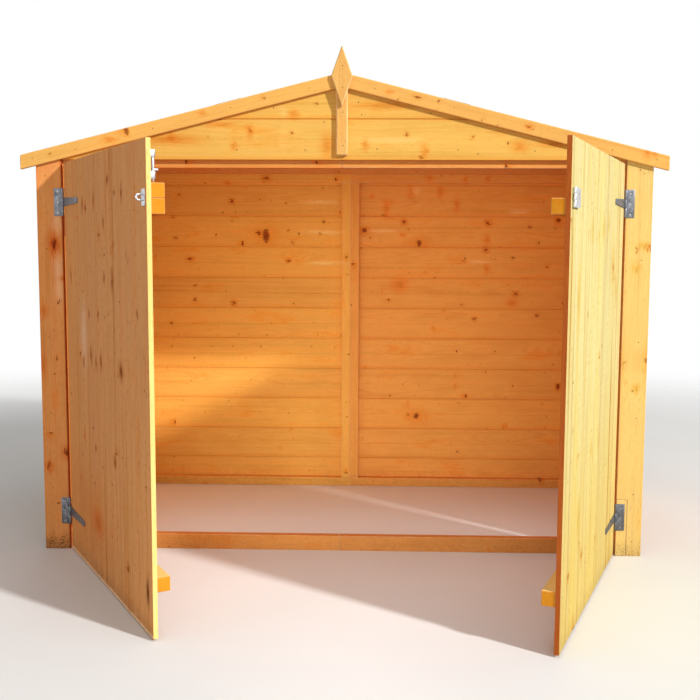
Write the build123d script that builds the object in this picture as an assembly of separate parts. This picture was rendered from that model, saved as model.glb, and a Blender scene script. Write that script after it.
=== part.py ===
from build123d import *
import math
import os

# Small boarded bike shelter with a shallow apex roof and a pair of ledged doors.
# Row frame: +X to the right seen from the front, +Y into the shelter, +Z up.
# The origin lies on the ground, in the middle of the threshold rail's underside.

# Overall size, in millimetres
body_width = 1900.0
body_depth = 943.0
eaves_height = 1245.0
roof_pitch = 14.04
eaves_overhang = 44.0

# Timber sections
batten = 34.0
cladding = 12.0
roof_board = 12.0
felt = 2.0
joint_gap = 0.3

# Tongue-and-groove boarding
board_cover = 122.5
groove_width = 5.0
groove_depth = 2.5
first_seam = 110.5

# Front opening
post_width = 80.5
gable_drop = 9.0
header_drop = 23.5
header_lap = 24.5
threshold_height = 48.0
threshold_lap = 4.0
stop_gap = 5.0
block_height = 182.0

# Back panels
back_panel_rise = 11.0

# Bargeboards, cover strips and finial
barge_height = 43.0
barge_thickness = 14.0
strip_width = 36.0
strip_lift = 12.0
finial_width = 66.0
finial_height = 184.0
finial_rise = 1.4
finial_thickness = 12.0

# Doors
door_board = 12.0
door_boards_across = 7
side_gap = 5.0
meeting_gap = 6.0
door_top_gap = 11.0
door_floor_gap = 6.0
left_open_angle = 60.0
right_open_angle = 69.0
ledge_height = 38.0
ledge_depth = 34.0
upper_ledge_drop = 178.0
lower_ledge_height = 122.0
ledge_edge_inset = 2.0
ledge_hinge_inset = 10.0
brace_width = 45.0
brace_edge_inset = 220.0
block_length = 150.0
door_block_height = 36.0

# T-hinges
hinge_inset = 120.0
plate_height = 85.0
plate_width = 28.0
plate_thickness = 2.0
strap_length = 178.0
strap_root = 27.0
strap_tip = 16.0
strap_thickness = 2.5
strap_seat = 0.3
tip_round = 6.0
knuckle_radius = 4.5
knuckle_gap = 0.5
hinge_pin_radius = 2.5
pin_clearance = 0.1
axis_standoff = 5.0
screw_hole_radius = 2.25
plate_screw_pitch = 31.5
plate_screw_inset = 11.5
strap_screw_lead = 40.0
strap_screw_end = 12.0

# Hasp and staple
hasp_height = 46.0
hasp_rise = 40.0
hasp_edge_inset = 18.0
hasp_leaf_length = 36.0
hasp_flap_length = 70.0
hasp_thickness = 2.0
hasp_standoff = 6.0
hasp_knuckle_radius = 4.0
hasp_pin_radius = 2.0
hasp_corner = 8.0
slot_offset = 49.0
slot_width = 12.0
slot_height = 26.0
staple_wire = 5.0
staple_loop = 18.5
staple_reach = 20.0
staple_plate_width = 30.0
staple_plate_height = 40.0
staple_plate = 1.5

# Tower bolt on the left door
bolt_drop = 95.0
bolt_length = 69.0
bolt_width = 24.0
bolt_plate = 1.5
bolt_standoff = 11.0
bolt_edge_inset = 20.0
bolt_radius = 3.5
bolt_clearance = 0.3
bolt_hole_clearance = 1.1
keeper_height = 18.0
keeper_wall = 2.2
bolt_tail = 6.5
bolt_travel = 22.0
knob_radius = 3.0
knob_reach = 9.0
bolt_play = 1.0

# Levels and places worked out from the sizes above
slope = math.tan(math.radians(roof_pitch))
stretch = 1.0 / math.cos(math.radians(roof_pitch))
half_width = body_width / 2
rail_depth = batten - stop_gap
face_y = -(cladding + stop_gap + rail_depth / 2)
frame_y = face_y + cladding
back_y = face_y + body_depth
back_boards_y = back_y - cladding
back_frame_y = back_boards_y - batten
opening_half = half_width - post_width
inner_half = opening_half + batten
roof_end = half_width + eaves_overhang
gable_edge = eaves_height - gable_drop
back_panel_height = eaves_height + back_panel_rise
finial_middle = eaves_height + half_width * slope + finial_rise
door_top = gable_edge - door_top_gap
upper_ledge_height = door_top - upper_ledge_drop
hasp_middle = upper_ledge_height + hasp_rise
bolt_foot = door_top - bolt_drop
door_edge = opening_half - side_gap
hinge_x = opening_half - side_gap / 2
hinge_y = face_y - axis_standoff
header_bottom = gable_edge - header_drop
header_top = gable_edge + header_lap
hinge_heights = (door_floor_gap + hinge_inset, door_top - hinge_inset)
ledge_heights = (lower_ledge_height, upper_ledge_height)


def underside(x):
    """Height of the roof boards' lower face at a distance x from the ridge line."""
    return eaves_height + (half_width - abs(x)) * slope


def block(x0, x1, y0, y1, z0, z1):
    """Rectangular piece between two opposite corners."""
    middle = ((x0 + x1) / 2, (y0 + y1) / 2, (z0 + z1) / 2)
    return Pos(*middle) * Box(x1 - x0, y1 - y0, z1 - z0)


def front_plate(outline, y0, y1):
    """Flat piece with an outline seen from the front, given as (x, z) points."""
    face = make_face(Polyline([(x, y0, z) for x, z in outline], close=True))
    return extrude(face, amount=y1 - y0, dir=(0, 1, 0))


def side_plate(outline, x0, x1):
    """Flat piece with an outline seen from the side, given as (y, z) points."""
    face = make_face(Polyline([(x0, y, z) for y, z in outline], close=True))
    return extrude(face, amount=x1 - x0, dir=(1, 0, 0))


def upright(x, y, radius, z0, z1):
    """Round bar standing upright."""
    return Pos(x, y, (z0 + z1) / 2) * Cylinder(radius, z1 - z0)


def mirrored(piece):
    """The same piece on the left half of the shelter."""
    return mirror(piece, about=Plane.YZ)


def seams(first, last):
    """Heights of the horizontal board joints between two levels."""
    count = math.ceil((last - first_seam) / board_cover)
    heights = [first_seam + board_cover * step for step in range(count)]
    return [z for z in heights if z > first + groove_width]


def groove(run_from, run_to, along, at, y, z):
    """V groove of the boarding, sunk from a face into the boards behind it."""
    half = groove_width / 2
    section = [(-half, 0), (half, 0), (0, groove_depth)]
    length = run_to - run_from
    if along == "x":
        face = make_face(Polyline([(run_from, y + d, z + s) for s, d in section], close=True))
        return extrude(face, amount=length, dir=(1, 0, 0))
    face = make_face(Polyline([(at + s, y + d, run_from) for s, d in section], close=True))
    return extrude(face, amount=length, dir=(0, 0, 1))


def framed_panel(y0, y1, x0, x1, z0, z1):
    """Four battens of a rectangular panel: rails over and under two stiles."""
    pieces = [
        block(x0, x1, y0, y1, z0, z0 + batten),
        block(x0, x1, y0, y1, z1 - batten, z1),
    ]
    for edge in (x0, x1 - batten):
        pieces.append(block(edge, edge + batten, y0, y1,
                            z0 + batten + joint_gap, z1 - batten - joint_gap))
    return Compound(children=pieces)


def side_frame():
    """Battens of the right side wall, with the top rail bevelled to the roof."""
    x0, x1 = inner_half + joint_gap, half_width - cladding
    y0, y1 = frame_y, back_boards_y
    rail_top = underside(x1) - batten
    pieces = [
        block(x0, x1, y0, y1, 0, batten),
        front_plate([(x0, rail_top), (x1, rail_top), (x1, underside(x1)), (x0, underside(x0))], y0, y1),
    ]
    for edge in (y0, y1 - batten):
        pieces.append(block(x0, x1, edge, edge + batten, batten + joint_gap, rail_top - joint_gap))
    return Compound(children=pieces)


def side_boards():
    """Horizontal boarding of the right side wall, grooved on its outer face."""
    x0, x1 = half_width - cladding, half_width
    outline = [(x0, 0), (x1, 0), (x1, underside(x1)), (x0, underside(x0))]
    boards = front_plate(outline, frame_y, back_boards_y)
    half = groove_width / 2
    for z in seams(0, eaves_height):
        notch = [(x1, z - half), (x1, z + half), (x1 - groove_depth, z)]
        boards -= front_plate(notch, frame_y, back_boards_y)
    return boards


def back_boards():
    """Horizontal boarding of the right back panel."""
    knee = half_width - (back_panel_height - eaves_height) / slope
    outline = [(joint_gap / 2, 0), (half_width, 0), (half_width, eaves_height),
               (knee, back_panel_height), (joint_gap / 2, back_panel_height)]
    boards = front_plate(outline, back_boards_y, back_y)
    half = groove_width / 2
    for z in seams(0, back_panel_height):
        notch = [(back_y, z - half), (back_y, z + half), (back_y - groove_depth, z)]
        boards -= side_plate(notch, joint_gap / 2, half_width)
    return boards


def front_post():
    """Board that closes the front corner, up to the roof."""
    outline = [(opening_half, 0), (half_width, 0), (half_width, underside(half_width)),
               (opening_half, underside(opening_half))]
    return front_plate(outline, face_y, frame_y)


def notched_front_post():
    """Right post board, cut out at its inner foot for the packing block."""
    return front_post() - block(opening_half, inner_half, face_y, frame_y, 0, block_height)


def post_block():
    """Packing block let into the foot of the right post board, under the hinge plate."""
    return block(opening_half, inner_half - joint_gap, face_y, frame_y, 0, block_height - joint_gap)


def front_stiles():
    """Upright battens behind the two front post boards."""
    outline = [(opening_half, 0), (inner_half, 0), (inner_half, underside(inner_half)),
               (opening_half, underside(opening_half))]
    stile = front_plate(outline, frame_y, frame_y + batten)
    return Compound(children=[stile, mirrored(stile)])


def threshold():
    """Threshold rail in two lengths, the right one running just past the middle."""
    end = opening_half - joint_gap
    y0, y1 = frame_y + stop_gap, frame_y + batten
    right = block(-threshold_lap, end, y0, y1, 0, threshold_height)
    left = block(-end, -threshold_lap - joint_gap, y0, y1, 0, threshold_height)
    return Compound(children=[right, left])


def header_rail():
    """Right half of the header, rebated so that the shut doors stop just short of it."""
    y0, y1 = frame_y, frame_y + batten
    section = [(y0 + stop_gap, header_bottom), (y1, header_bottom), (y1, header_top),
               (y0, header_top), (y0, gable_edge), (y0 + stop_gap, gable_edge)]
    return side_plate(section, joint_gap / 2, opening_half - joint_gap)


def front_gable():
    """Boarding of the right half of the front gable."""
    x0, x1 = joint_gap / 2, opening_half - joint_gap
    outline = [(x0, gable_edge), (x1, gable_edge), (x1, underside(x1)), (x0, underside(x0))]
    boards = front_plate(outline, face_y, frame_y)
    return boards - groove(x0, x1, "x", 0, face_y, gable_edge + board_cover)


def back_gable():
    """Boarding of the right half of the back gable, above the back panel."""
    foot = back_panel_height + joint_gap
    knee = half_width - (foot - eaves_height) / slope
    outline = [(joint_gap / 2, foot), (knee, foot), (joint_gap / 2, underside(joint_gap / 2))]
    boards = front_plate(outline, back_boards_y, back_y)
    half = groove_width / 2
    z = back_panel_height + board_cover
    notch = [(back_y, z - half), (back_y, z + half), (back_y - groove_depth, z)]
    return boards - side_plate(notch, joint_gap / 2, half_width)


def rafter(y0, seat, outer):
    """Sloping batten under the right roof slope, landing on a rail below it."""
    drop = batten * stretch
    x0 = joint_gap / 2
    toe = half_width - (seat + drop - eaves_height) / slope
    outline = [(x0, underside(x0)), (outer, underside(outer)), (outer, seat), (toe, seat),
               (x0, underside(x0) - drop)]
    return front_plate(outline, y0, y0 + batten)


def rafters():
    """Front and back rafters of both slopes."""
    front = rafter(frame_y, header_top + joint_gap, opening_half - joint_gap)
    rail_top = back_panel_height + joint_gap + batten
    meet = half_width - (rail_top + joint_gap - eaves_height) / slope
    back = rafter(back_frame_y, rail_top + joint_gap, meet - joint_gap)
    return Compound(children=[front, back, mirrored(front), mirrored(back)])


def gable_rails():
    """Bottom rails of the two back gable halves, on top of the back panels."""
    foot = back_panel_height + joint_gap
    head = foot + batten
    knee = half_width - (head - eaves_height) / slope
    tip = inner_half - joint_gap
    outline = [(joint_gap / 2, foot), (tip, foot), (tip, underside(tip)), (knee, head),
               (joint_gap / 2, head)]
    rail = front_plate(outline, back_frame_y, back_boards_y)
    return Compound(children=[rail, mirrored(rail)])


def ridge_battens():
    """Battens along both sides of the ridge, between the front and back rafters."""
    x0, x1 = joint_gap / 2, joint_gap / 2 + batten
    drop = batten * stretch
    outline = [(x0, underside(x0)), (x1, underside(x1)), (x1, underside(x1) - drop),
               (x0, underside(x0) - drop)]
    y0 = frame_y + batten + joint_gap
    piece = front_plate(outline, y0, back_frame_y - joint_gap)
    return Compound(children=[piece, mirrored(piece)])


def roof_boards():
    """Right roof slope: boards laid parallel to the ridge."""
    rise = roof_board * stretch
    x0, x1 = joint_gap / 2, roof_end - felt
    outline = [(x0, underside(x0)), (x1, underside(x1)), (x1, underside(x1) + rise),
               (x0, underside(x0) + rise)]
    return front_plate(outline, face_y, back_y)


def roof_felt():
    """Felt laid over both slopes in one piece and folded down over the eaves edges."""
    low = roof_board * stretch
    high = low + felt * stretch
    edge = roof_end - felt
    right = [(roof_end, underside(roof_end) + high), (roof_end, underside(edge)),
             (edge, underside(edge)), (edge, underside(edge) + low)]
    left = [(-x, z) for x, z in reversed(right)]
    outline = [(0, underside(0) + high)] + right + [(0, underside(0) + low)] + left
    return front_plate(outline, face_y, back_y)


def barge_top(x):
    """Height of a bargeboard's upper edge, level with the felt."""
    return underside(x) + (roof_board + felt) * stretch


def bargeboard(y0):
    """Right bargeboard, plumb cut at the ridge and at the eaves."""
    x0, x1 = joint_gap / 2, roof_end
    fall = barge_height * stretch
    outline = [(x0, barge_top(x0)), (x1, barge_top(x1)), (x1, barge_top(x1) - fall),
               (x0, barge_top(x0) - fall)]
    return front_plate(outline, y0, y0 + barge_thickness)


def cover_strip(y0, foot):
    """Strip over the joint of the two gable halves, pointed to fit under the bargeboards."""
    fall = barge_height * stretch + joint_gap
    half = strip_width / 2
    outline = [(-half, foot), (half, foot), (half, barge_top(half) - fall),
               (0, barge_top(0) - fall), (-half, barge_top(half) - fall)]
    return front_plate(outline, y0, y0 + barge_thickness)


def finial():
    """Flat diamond over the meeting of the bargeboards."""
    half_w, half_h = finial_width / 2, finial_height / 2
    outline = [(-half_w, finial_middle), (0, finial_middle - half_h), (half_w, finial_middle),
               (0, finial_middle + half_h)]
    y1 = face_y - barge_thickness
    return front_plate(outline, y1 - finial_thickness, y1)


def screw_hole(x, z, y0, y1):
    """Round hole straight through a plate that faces the front."""
    return Pos(x, (y0 + y1) / 2, z) * Rot(90, 0, 0) * Cylinder(screw_hole_radius, y1 - y0)


def hinge_plate(z):
    """Butt plate of a T-hinge on the right post, with its screw holes, two knuckles and the pin."""
    z0, z1 = z - plate_height / 2, z + plate_height / 2
    half_strap = strap_root / 2 + knuckle_gap
    x1 = hinge_x + plate_width
    plate = block(hinge_x, x1, face_y - plate_thickness, face_y, z0, z1)
    relief = knuckle_radius + knuckle_gap
    plate -= block(hinge_x, hinge_x + relief, face_y - plate_thickness, face_y,
                   z - half_strap, z + half_strap)
    for step in (-1, 0, 1):
        plate -= screw_hole(x1 - plate_screw_inset, z + step * plate_screw_pitch,
                            face_y - plate_thickness, face_y)
    for low, high in ((z0, z - half_strap), (z + half_strap, z1)):
        plate += upright(hinge_x, hinge_y, knuckle_radius, low, high)
    return plate + upright(hinge_x, hinge_y, hinge_pin_radius, z0, z1)


def hinge_plates():
    """The four butt plates, two on each post."""
    right = [hinge_plate(z) for z in hinge_heights]
    return Compound(children=right + [mirrored(plate) for plate in right])


def hinge_strap(z):
    """Tapered strap of a T-hinge on the shut right door, with its middle knuckle."""
    root, tip = strap_root / 2, strap_tip / 2
    tip_x = door_edge - strap_length
    lead = hinge_x - knuckle_radius / 2
    y0, y1 = face_y - strap_seat - strap_thickness, face_y - strap_seat
    strap = front_plate([(lead, z - root), (lead, z + root), (tip_x, z + tip), (tip_x, z - tip)], y0, y1)
    strap = fillet(strap.edges().filter_by(Axis.Y).group_by(Axis.X)[0], tip_round)
    first, last = door_edge - strap_screw_lead, tip_x + strap_screw_end
    for x in (first, (first + last) / 2, last):
        strap -= screw_hole(x, z, y0, y1)
    strap += upright(hinge_x, hinge_y, knuckle_radius, z - root, z + root)
    return strap - upright(hinge_x, hinge_y, hinge_pin_radius + pin_clearance, z - root, z + root)


def hinge_straps():
    """Both straps of the shut right door."""
    return Compound(children=[hinge_strap(z) for z in hinge_heights])


def door_skin():
    """Vertical tongue-and-groove boarding of the shut right door."""
    x0, x1 = meeting_gap / 2, door_edge
    skin = block(x0, x1, face_y, face_y + door_board, door_floor_gap, door_top)
    pitch = (x1 - x0) / door_boards_across
    for step in range(1, door_boards_across):
        skin -= groove(door_floor_gap, door_top, "z", x0 + pitch * step, face_y, 0)
    return skin


def door_ledges():
    """Two ledges across the back of the shut right door."""
    x0, x1 = meeting_gap / 2 + ledge_edge_inset, door_edge - ledge_hinge_inset
    y0 = face_y + door_board
    return Compound(children=[block(x0, x1, y0, y0 + ledge_depth, z, z + ledge_height)
                              for z in ledge_heights])


def door_brace():
    """Diagonal brace of the shut right door, rising from the hinge side."""
    foot = lower_ledge_height + ledge_height + joint_gap
    head = upper_ledge_height - joint_gap
    x0, x1 = meeting_gap / 2 + brace_edge_inset, door_edge - ledge_hinge_inset - batten
    run = brace_width * math.hypot(x1 - x0, head - foot) / (head - foot)
    outline = [(x1, foot), (x1 - run, foot), (x0, head), (x0 + run, head)]
    y0 = face_y + door_board
    return front_plate(outline, y0, y0 + ledge_depth)


def door_block():
    """Block on top of the left door's upper ledge, at the meeting edge (drawn on the right)."""
    x0 = meeting_gap / 2 + ledge_edge_inset
    y0 = face_y + door_board
    z0 = upper_ledge_height + ledge_height + joint_gap
    return block(x0, x0 + block_length, y0, y0 + ledge_depth, z0, z0 + door_block_height)


hasp_x = meeting_gap / 2 + hasp_edge_inset
hasp_y = face_y - hasp_standoff
hasp_third = hasp_height / 3


def hasp_plate(x0, x1, y0):
    """Rounded plate of the hasp between two distances from the meeting line."""
    z = hasp_middle
    plate = block(x0, x1, y0, y0 + hasp_thickness, z - hasp_height / 2, z + hasp_height / 2)
    corners = plate.edges().filter_by(Axis.Y).group_by(Axis.X)[-1]
    return fillet(corners, hasp_corner)


def hasp_leaf():
    """Fixed leaf of the hasp on the shut right door, with its outer knuckles and pin."""
    z, half = hasp_middle, hasp_height / 2
    middle = hasp_third / 2 + knuckle_gap
    leaf = hasp_plate(hasp_x, hasp_x + hasp_leaf_length, face_y - hasp_thickness)
    relief = hasp_knuckle_radius + knuckle_gap
    leaf -= block(hasp_x, hasp_x + relief, face_y - hasp_thickness, face_y, z - middle, z + middle)
    for low, high in ((z - half, z - middle), (z + middle, z + half)):
        leaf += upright(hasp_x, hasp_y, hasp_knuckle_radius, low, high)
        leaf += block(hasp_x, hasp_x + hasp_knuckle_radius, hasp_y, face_y, low, high)
    return leaf + upright(hasp_x, hasp_y, hasp_pin_radius, z - half, z + half)


def hasp_flap():
    """Swinging flap of the hasp, folded back over its leaf, with the slot for the staple."""
    z = hasp_middle
    root = hasp_x + hasp_knuckle_radius + knuckle_gap
    y0 = hasp_y - hasp_thickness / 2
    flap = hasp_plate(root, hasp_x + hasp_flap_length, y0)
    tongue = hasp_third / 2
    flap += block(hasp_x, root, y0, y0 + hasp_thickness, z - tongue, z + tongue)
    flap += upright(hasp_x, hasp_y, hasp_knuckle_radius, z - tongue, z + tongue)
    flap -= upright(hasp_x, hasp_y, hasp_pin_radius + pin_clearance, z - tongue, z + tongue)
    slot_x = hasp_x + slot_offset
    slot = block(slot_x - slot_width / 2, slot_x + slot_width / 2, y0, y0 + hasp_thickness,
                 z - slot_height / 2, z + slot_height / 2)
    return flap - slot


def staple():
    """Staple for the hasp, drawn where the left door's would be if mirrored to the right."""
    x = slot_offset - hasp_edge_inset - meeting_gap / 2
    z, wire = hasp_middle, staple_wire / 2
    bend = staple_loop / 2 - wire
    turn_y = face_y - (staple_reach - staple_loop / 2)
    plate = block(x - staple_plate_width / 2, x + staple_plate_width / 2, face_y - staple_plate, face_y,
                  z - staple_plate_height / 2, z + staple_plate_height / 2)
    for leg_z in (z - bend, z + bend):
        length = face_y - turn_y
        plate += Pos(x, face_y - length / 2, leg_z) * Rot(90, 0, 0) * Cylinder(wire, length)
    section = Plane(origin=(x, turn_y, z + bend), x_dir=(1, 0, 0), z_dir=(0, 1, 0)) * Circle(wire)
    turn = revolve(section, axis=Axis((x, turn_y, z), (1, 0, 0)), revolution_arc=180)
    return plate + turn


bolt_x = meeting_gap / 2 + bolt_edge_inset
bolt_y = face_y + door_board + bolt_standoff


def bolt_keeper(z0):
    """Bridge that holds the bolt's rod to its base plate."""
    radius = bolt_radius + bolt_clearance
    outer = radius + keeper_wall
    back = face_y + door_board + bolt_plate
    bridge = upright(bolt_x, bolt_y, outer, z0, z0 + keeper_height)
    bridge += block(bolt_x - outer, bolt_x + outer, back, bolt_y, z0, z0 + keeper_height)
    return bridge - upright(bolt_x, bolt_y, radius, z0, z0 + keeper_height)


def bolt_barrel():
    """Base plate and keepers of the tower bolt, drawn on the right door's place."""
    y0 = face_y + door_board
    plate = block(bolt_x - bolt_width / 2, bolt_x + bolt_width / 2, y0, y0 + bolt_plate,
                  bolt_foot, bolt_foot + bolt_length)
    plate += bolt_keeper(bolt_foot)
    return plate + bolt_keeper(bolt_foot + bolt_length - keeper_height)


def bolt_rod():
    """Sliding rod of the tower bolt, drawn back, with its knob."""
    rod = upright(bolt_x, bolt_y, bolt_radius, bolt_foot - bolt_tail, bolt_foot + bolt_length - bolt_play)
    knob_z = bolt_foot + keeper_height + knob_radius + bolt_play
    knob = Pos(bolt_x, bolt_y + (bolt_radius + knob_reach) / 2, knob_z) * Rot(90, 0, 0) * Cylinder(
        knob_radius, bolt_radius + knob_reach)
    return rod + knob


def bolt_hole():
    """Hole in the left header rail that takes the rod's head, drawn on the right."""
    radius = bolt_radius + bolt_hole_clearance
    return upright(bolt_x, bolt_y, radius, header_bottom, header_bottom + bolt_travel)


def swung_right(piece):
    """The right door's piece, turned from shut to its open rest place."""
    return piece.rotate(Axis((hinge_x, hinge_y, 0), (0, 0, 1)), right_open_angle)


def swung_left(piece):
    """The left door's piece, made from a right-hand one and opened."""
    return mirrored(piece).rotate(Axis((-hinge_x, hinge_y, 0), (0, 0, 1)), -left_open_angle)


nodes = {
    "threshold": threshold(),
    "right_header_rail": header_rail(),
    "left_header_rail": mirrored(header_rail() - bolt_hole()),
    "front_stiles": front_stiles(),
    "right_front_post": notched_front_post(),
    "left_front_post": mirrored(front_post()),
    "right_post_block": post_block(),
    "right_front_gable": front_gable(),
    "left_front_gable": mirrored(front_gable()),
    "front_cover_strip": cover_strip(face_y - barge_thickness, gable_edge + strip_lift),
    "finial": finial(),
    "right_front_bargeboard": bargeboard(face_y - barge_thickness),
    "left_front_bargeboard": mirrored(bargeboard(face_y - barge_thickness)),
    "back_bargeboards": Compound(children=[bargeboard(back_y), mirrored(bargeboard(back_y))]),
    "back_cover_strip": cover_strip(back_y, 0),
    "right_side_frame": side_frame(),
    "left_side_frame": mirrored(side_frame()),
    "right_side_boards": side_boards(),
    "left_side_boards": mirrored(side_boards()),
    "right_back_frame": framed_panel(back_frame_y, back_boards_y, joint_gap / 2, inner_half, 0,
                                     back_panel_height),
    "left_back_frame": mirrored(framed_panel(back_frame_y, back_boards_y, joint_gap / 2, inner_half, 0,
                                             back_panel_height)),
    "right_back_boards": back_boards(),
    "left_back_boards": mirrored(back_boards()),
    "right_back_gable": back_gable(),
    "left_back_gable": mirrored(back_gable()),
    "back_gable_rails": gable_rails(),
    "rafters": rafters(),
    "ridge_battens": ridge_battens(),
    "right_roof_boards": roof_boards(),
    "left_roof_boards": mirrored(roof_boards()),
    "roof_felt": roof_felt(),
    "hinge_plates": hinge_plates(),
    "right_door_boards": swung_right(door_skin()),
    "right_door_ledges": swung_right(door_ledges()),
    "right_door_brace": swung_right(door_brace()),
    "right_hinge_straps": swung_right(hinge_straps()),
    "hasp_leaf": swung_right(hasp_leaf()),
    "hasp_flap": swung_right(hasp_flap()),
    "left_door_boards": swung_left(door_skin()),
    "left_door_ledges": swung_left(door_ledges()),
    "left_door_brace": swung_left(door_brace()),
    "left_door_block": swung_left(door_block()),
    "left_hinge_straps": swung_left(hinge_straps()),
    "staple": swung_left(staple()),
    "bolt_barrel": swung_left(bolt_barrel()),
    "bolt_rod": swung_left(bolt_rod()),
}

os.makedirs("parts", exist_ok=True)
for name, piece in nodes.items():
    export_step(piece, f"parts/{name}.step")
print(len(nodes), "pieces")
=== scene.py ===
# Boarded bike shelter: pine boards and battens, felt roof, zinc-plated door furniture
import math
import random
from types import SimpleNamespace

import bmesh
import bpy
from mathutils import Matrix, Vector, noise


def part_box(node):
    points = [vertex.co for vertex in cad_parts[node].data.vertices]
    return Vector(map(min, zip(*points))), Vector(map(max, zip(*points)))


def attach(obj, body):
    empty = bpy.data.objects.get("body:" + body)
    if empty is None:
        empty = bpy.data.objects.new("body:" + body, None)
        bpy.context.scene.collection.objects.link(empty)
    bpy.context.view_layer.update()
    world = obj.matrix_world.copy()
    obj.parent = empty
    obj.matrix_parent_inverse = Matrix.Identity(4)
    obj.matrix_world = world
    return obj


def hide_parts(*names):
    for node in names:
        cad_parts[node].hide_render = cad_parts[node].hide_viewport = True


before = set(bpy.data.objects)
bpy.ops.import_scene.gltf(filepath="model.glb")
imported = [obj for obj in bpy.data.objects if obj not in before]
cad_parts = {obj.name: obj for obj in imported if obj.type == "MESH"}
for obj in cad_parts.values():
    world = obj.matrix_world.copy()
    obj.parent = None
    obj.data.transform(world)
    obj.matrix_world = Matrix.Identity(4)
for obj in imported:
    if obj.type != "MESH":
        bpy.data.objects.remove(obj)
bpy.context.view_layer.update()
print("frame loaded:", len(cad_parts), "nodes")

xAxis, yAxis, zAxis = Vector((1, 0, 0)), Vector((0, 1, 0)), Vector((0, 0, 1))

# main levels of the shelter, in metres
shelter = dict(halfWidth=0.95, eaves=1.245, pitch=14.04, frontFace=-0.0315, frontFrame=-0.0195,
               backBoards=0.8995, backFace=0.9115, opening=0.8695, innerHalf=0.9035,
               gableEdge=1.236, backPanel=1.256, roofEnd=0.994, batten=0.034, boardThick=0.012,
               bargeThick=0.014, feltThick=0.002, cover=0.1225, firstSeam=0.1105, gap=0.0003, seamGap=0.0005,
               roofClear=0.0002)
doorLeaf = dict(hingeX=0.867, hingeY=-0.0365, edge=0.8645, meeting=0.003, foot=0.006, top=1.225,
                rightOpen=69.0, leftOpen=-60.0, boards=7, ledgeHeight=0.038, lowerLedge=0.122,
                upperLedge=1.047, ledgeInset=0.010, ledgeStart=0.002, braceWidth=0.045, braceInset=0.22,
                bracePast=0.08, blockHeight=0.036, blockEnds=(0.005, 0.155), nailSpread=0.28,
                nailStray=(0.004, 0.007), nailRadius=0.0015, edgeDepth=0.0075)

pitch = math.radians(shelter["pitch"])
slope, stretch = math.tan(pitch), 1 / math.cos(pitch)
half, gap = shelter["halfWidth"], shelter["gap"]
frontFace, frontFrame = shelter["frontFace"], shelter["frontFrame"]
backBoards, backFace = shelter["backBoards"], shelter["backFace"]
opening, innerHalf, batten = shelter["opening"], shelter["innerHalf"], shelter["batten"]
boardThick, gableEdge, backPanel = shelter["boardThick"], shelter["gableEdge"], shelter["backPanel"]
roofEnd = shelter["roofEnd"]


def underside(x):
    return shelter["eaves"] + (half - abs(x)) * slope


def roofPlane(side):
    # just under the roof boards of one half: a point there and the way out
    point = Vector((0, 0, underside(0) - shelter["roofClear"]))
    return point, Vector((side * math.sin(pitch), 0, math.cos(pitch)))


def planeAt(x, away):
    # an upright cut across the shelter
    return Vector((x, 0, 0)), away * xAxis


def linear(r, g, b):
    # a colour picked as 0-255 screen values
    shares = (c / 255 for c in (r, g, b))
    return tuple(c / 12.92 if c <= 0.04045 else ((c + 0.055) / 1.055) ** 2.4 for c in shares) + (1,)


class Flow:
    # a shader value, worked out with + - * and / on numbers, tuples and other such values
    def __init__(self, socket, factors=None):
        self.socket, self.tree, self.factors = socket, socket.id_data, factors

    def other(self, output):
        return Flow(self.socket.node.outputs[output])

    def part(self, index):
        kind = "SeparateXYZ" if self.socket.type == "VECTOR" else "SeparateColor"
        return node(self.tree, kind, {0: self}, index)

    def __mul__(self, value):
        return Flow(calculate("MULTIPLY", self, value).socket, (self, value))

    def __add__(self, value):
        # a product is folded into the sum
        for first, second in ((self, value), (value, self)):
            if isinstance(first, Flow) and first.factors:
                return calculate("MULTIPLY_ADD", *first.factors, second)
        return calculate("ADD", self, value)

    def __sub__(self, value):
        return calculate("SUBTRACT", self, value)

    def __rsub__(self, value):
        return calculate("SUBTRACT", value, self)

    def __truediv__(self, value):
        return calculate("DIVIDE", self, value)


def feed(socket, value):
    if isinstance(value, Flow):
        value.tree.links.new(value.socket, socket)
    else:
        socket.default_value = value


def node(tree, kind, inputs=None, output=0, **settings):
    made = tree.nodes.new("ShaderNode" + kind)
    for key, value in settings.items():
        setattr(made, key, value)
    for key, value in (inputs or {}).items():
        feed(made.inputs[key], value)
    return Flow(made.outputs[output])


def treeOf(terms):
    return next(term.tree for term in terms if isinstance(term, Flow))


def isVector(term):
    return term.socket.type != "VALUE" if isinstance(term, Flow) else isinstance(term, tuple)


def calculate(operation, *terms):
    if any(isVector(term) for term in terms):
        terms = [(term,) * 3 if isinstance(term, (int, float)) else term for term in terms]
        return node(treeOf(terms), "VectorMath", dict(enumerate(terms)), operation=operation)
    return node(treeOf(terms), "Math", dict(enumerate(terms)), operation=operation)


def clamped(value):
    value.socket.node.use_clamp = True
    return value


def larger(a, b):
    return calculate("MAXIMUM", a, b)


def length(vector):
    return node(vector.tree, "VectorMath", {0: vector}, "Value", operation="LENGTH")


def ramp(value, low, high, lowTo=0.0, highTo=1.0, smooth=True):
    ends = {"From Min": low, "From Max": high, "To Min": lowTo, "To Max": highTo}
    return node(value.tree, "MapRange", {"Value": value, **ends},
                interpolation_type="SMOOTHSTEP" if smooth else "LINEAR")


def tint(factor, a, b):
    return node(treeOf((factor, a, b)), "Mix", {0: factor, 6: a, 7: b}, 2, data_type="RGBA", clamp_factor=True)


def wavy(vector, detail=2.0, rough=0.5, output="Fac"):
    # noise as a value round zero
    inputs = {"Vector": vector, "Scale": 1.0, "Detail": detail, "Roughness": rough}
    return node(vector.tree, "TexNoise", inputs, output) - 0.5


def cloudy(vector, scale, detail=2.0, rough=0.5):
    return wavy(vector * scale, detail, rough)


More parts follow.
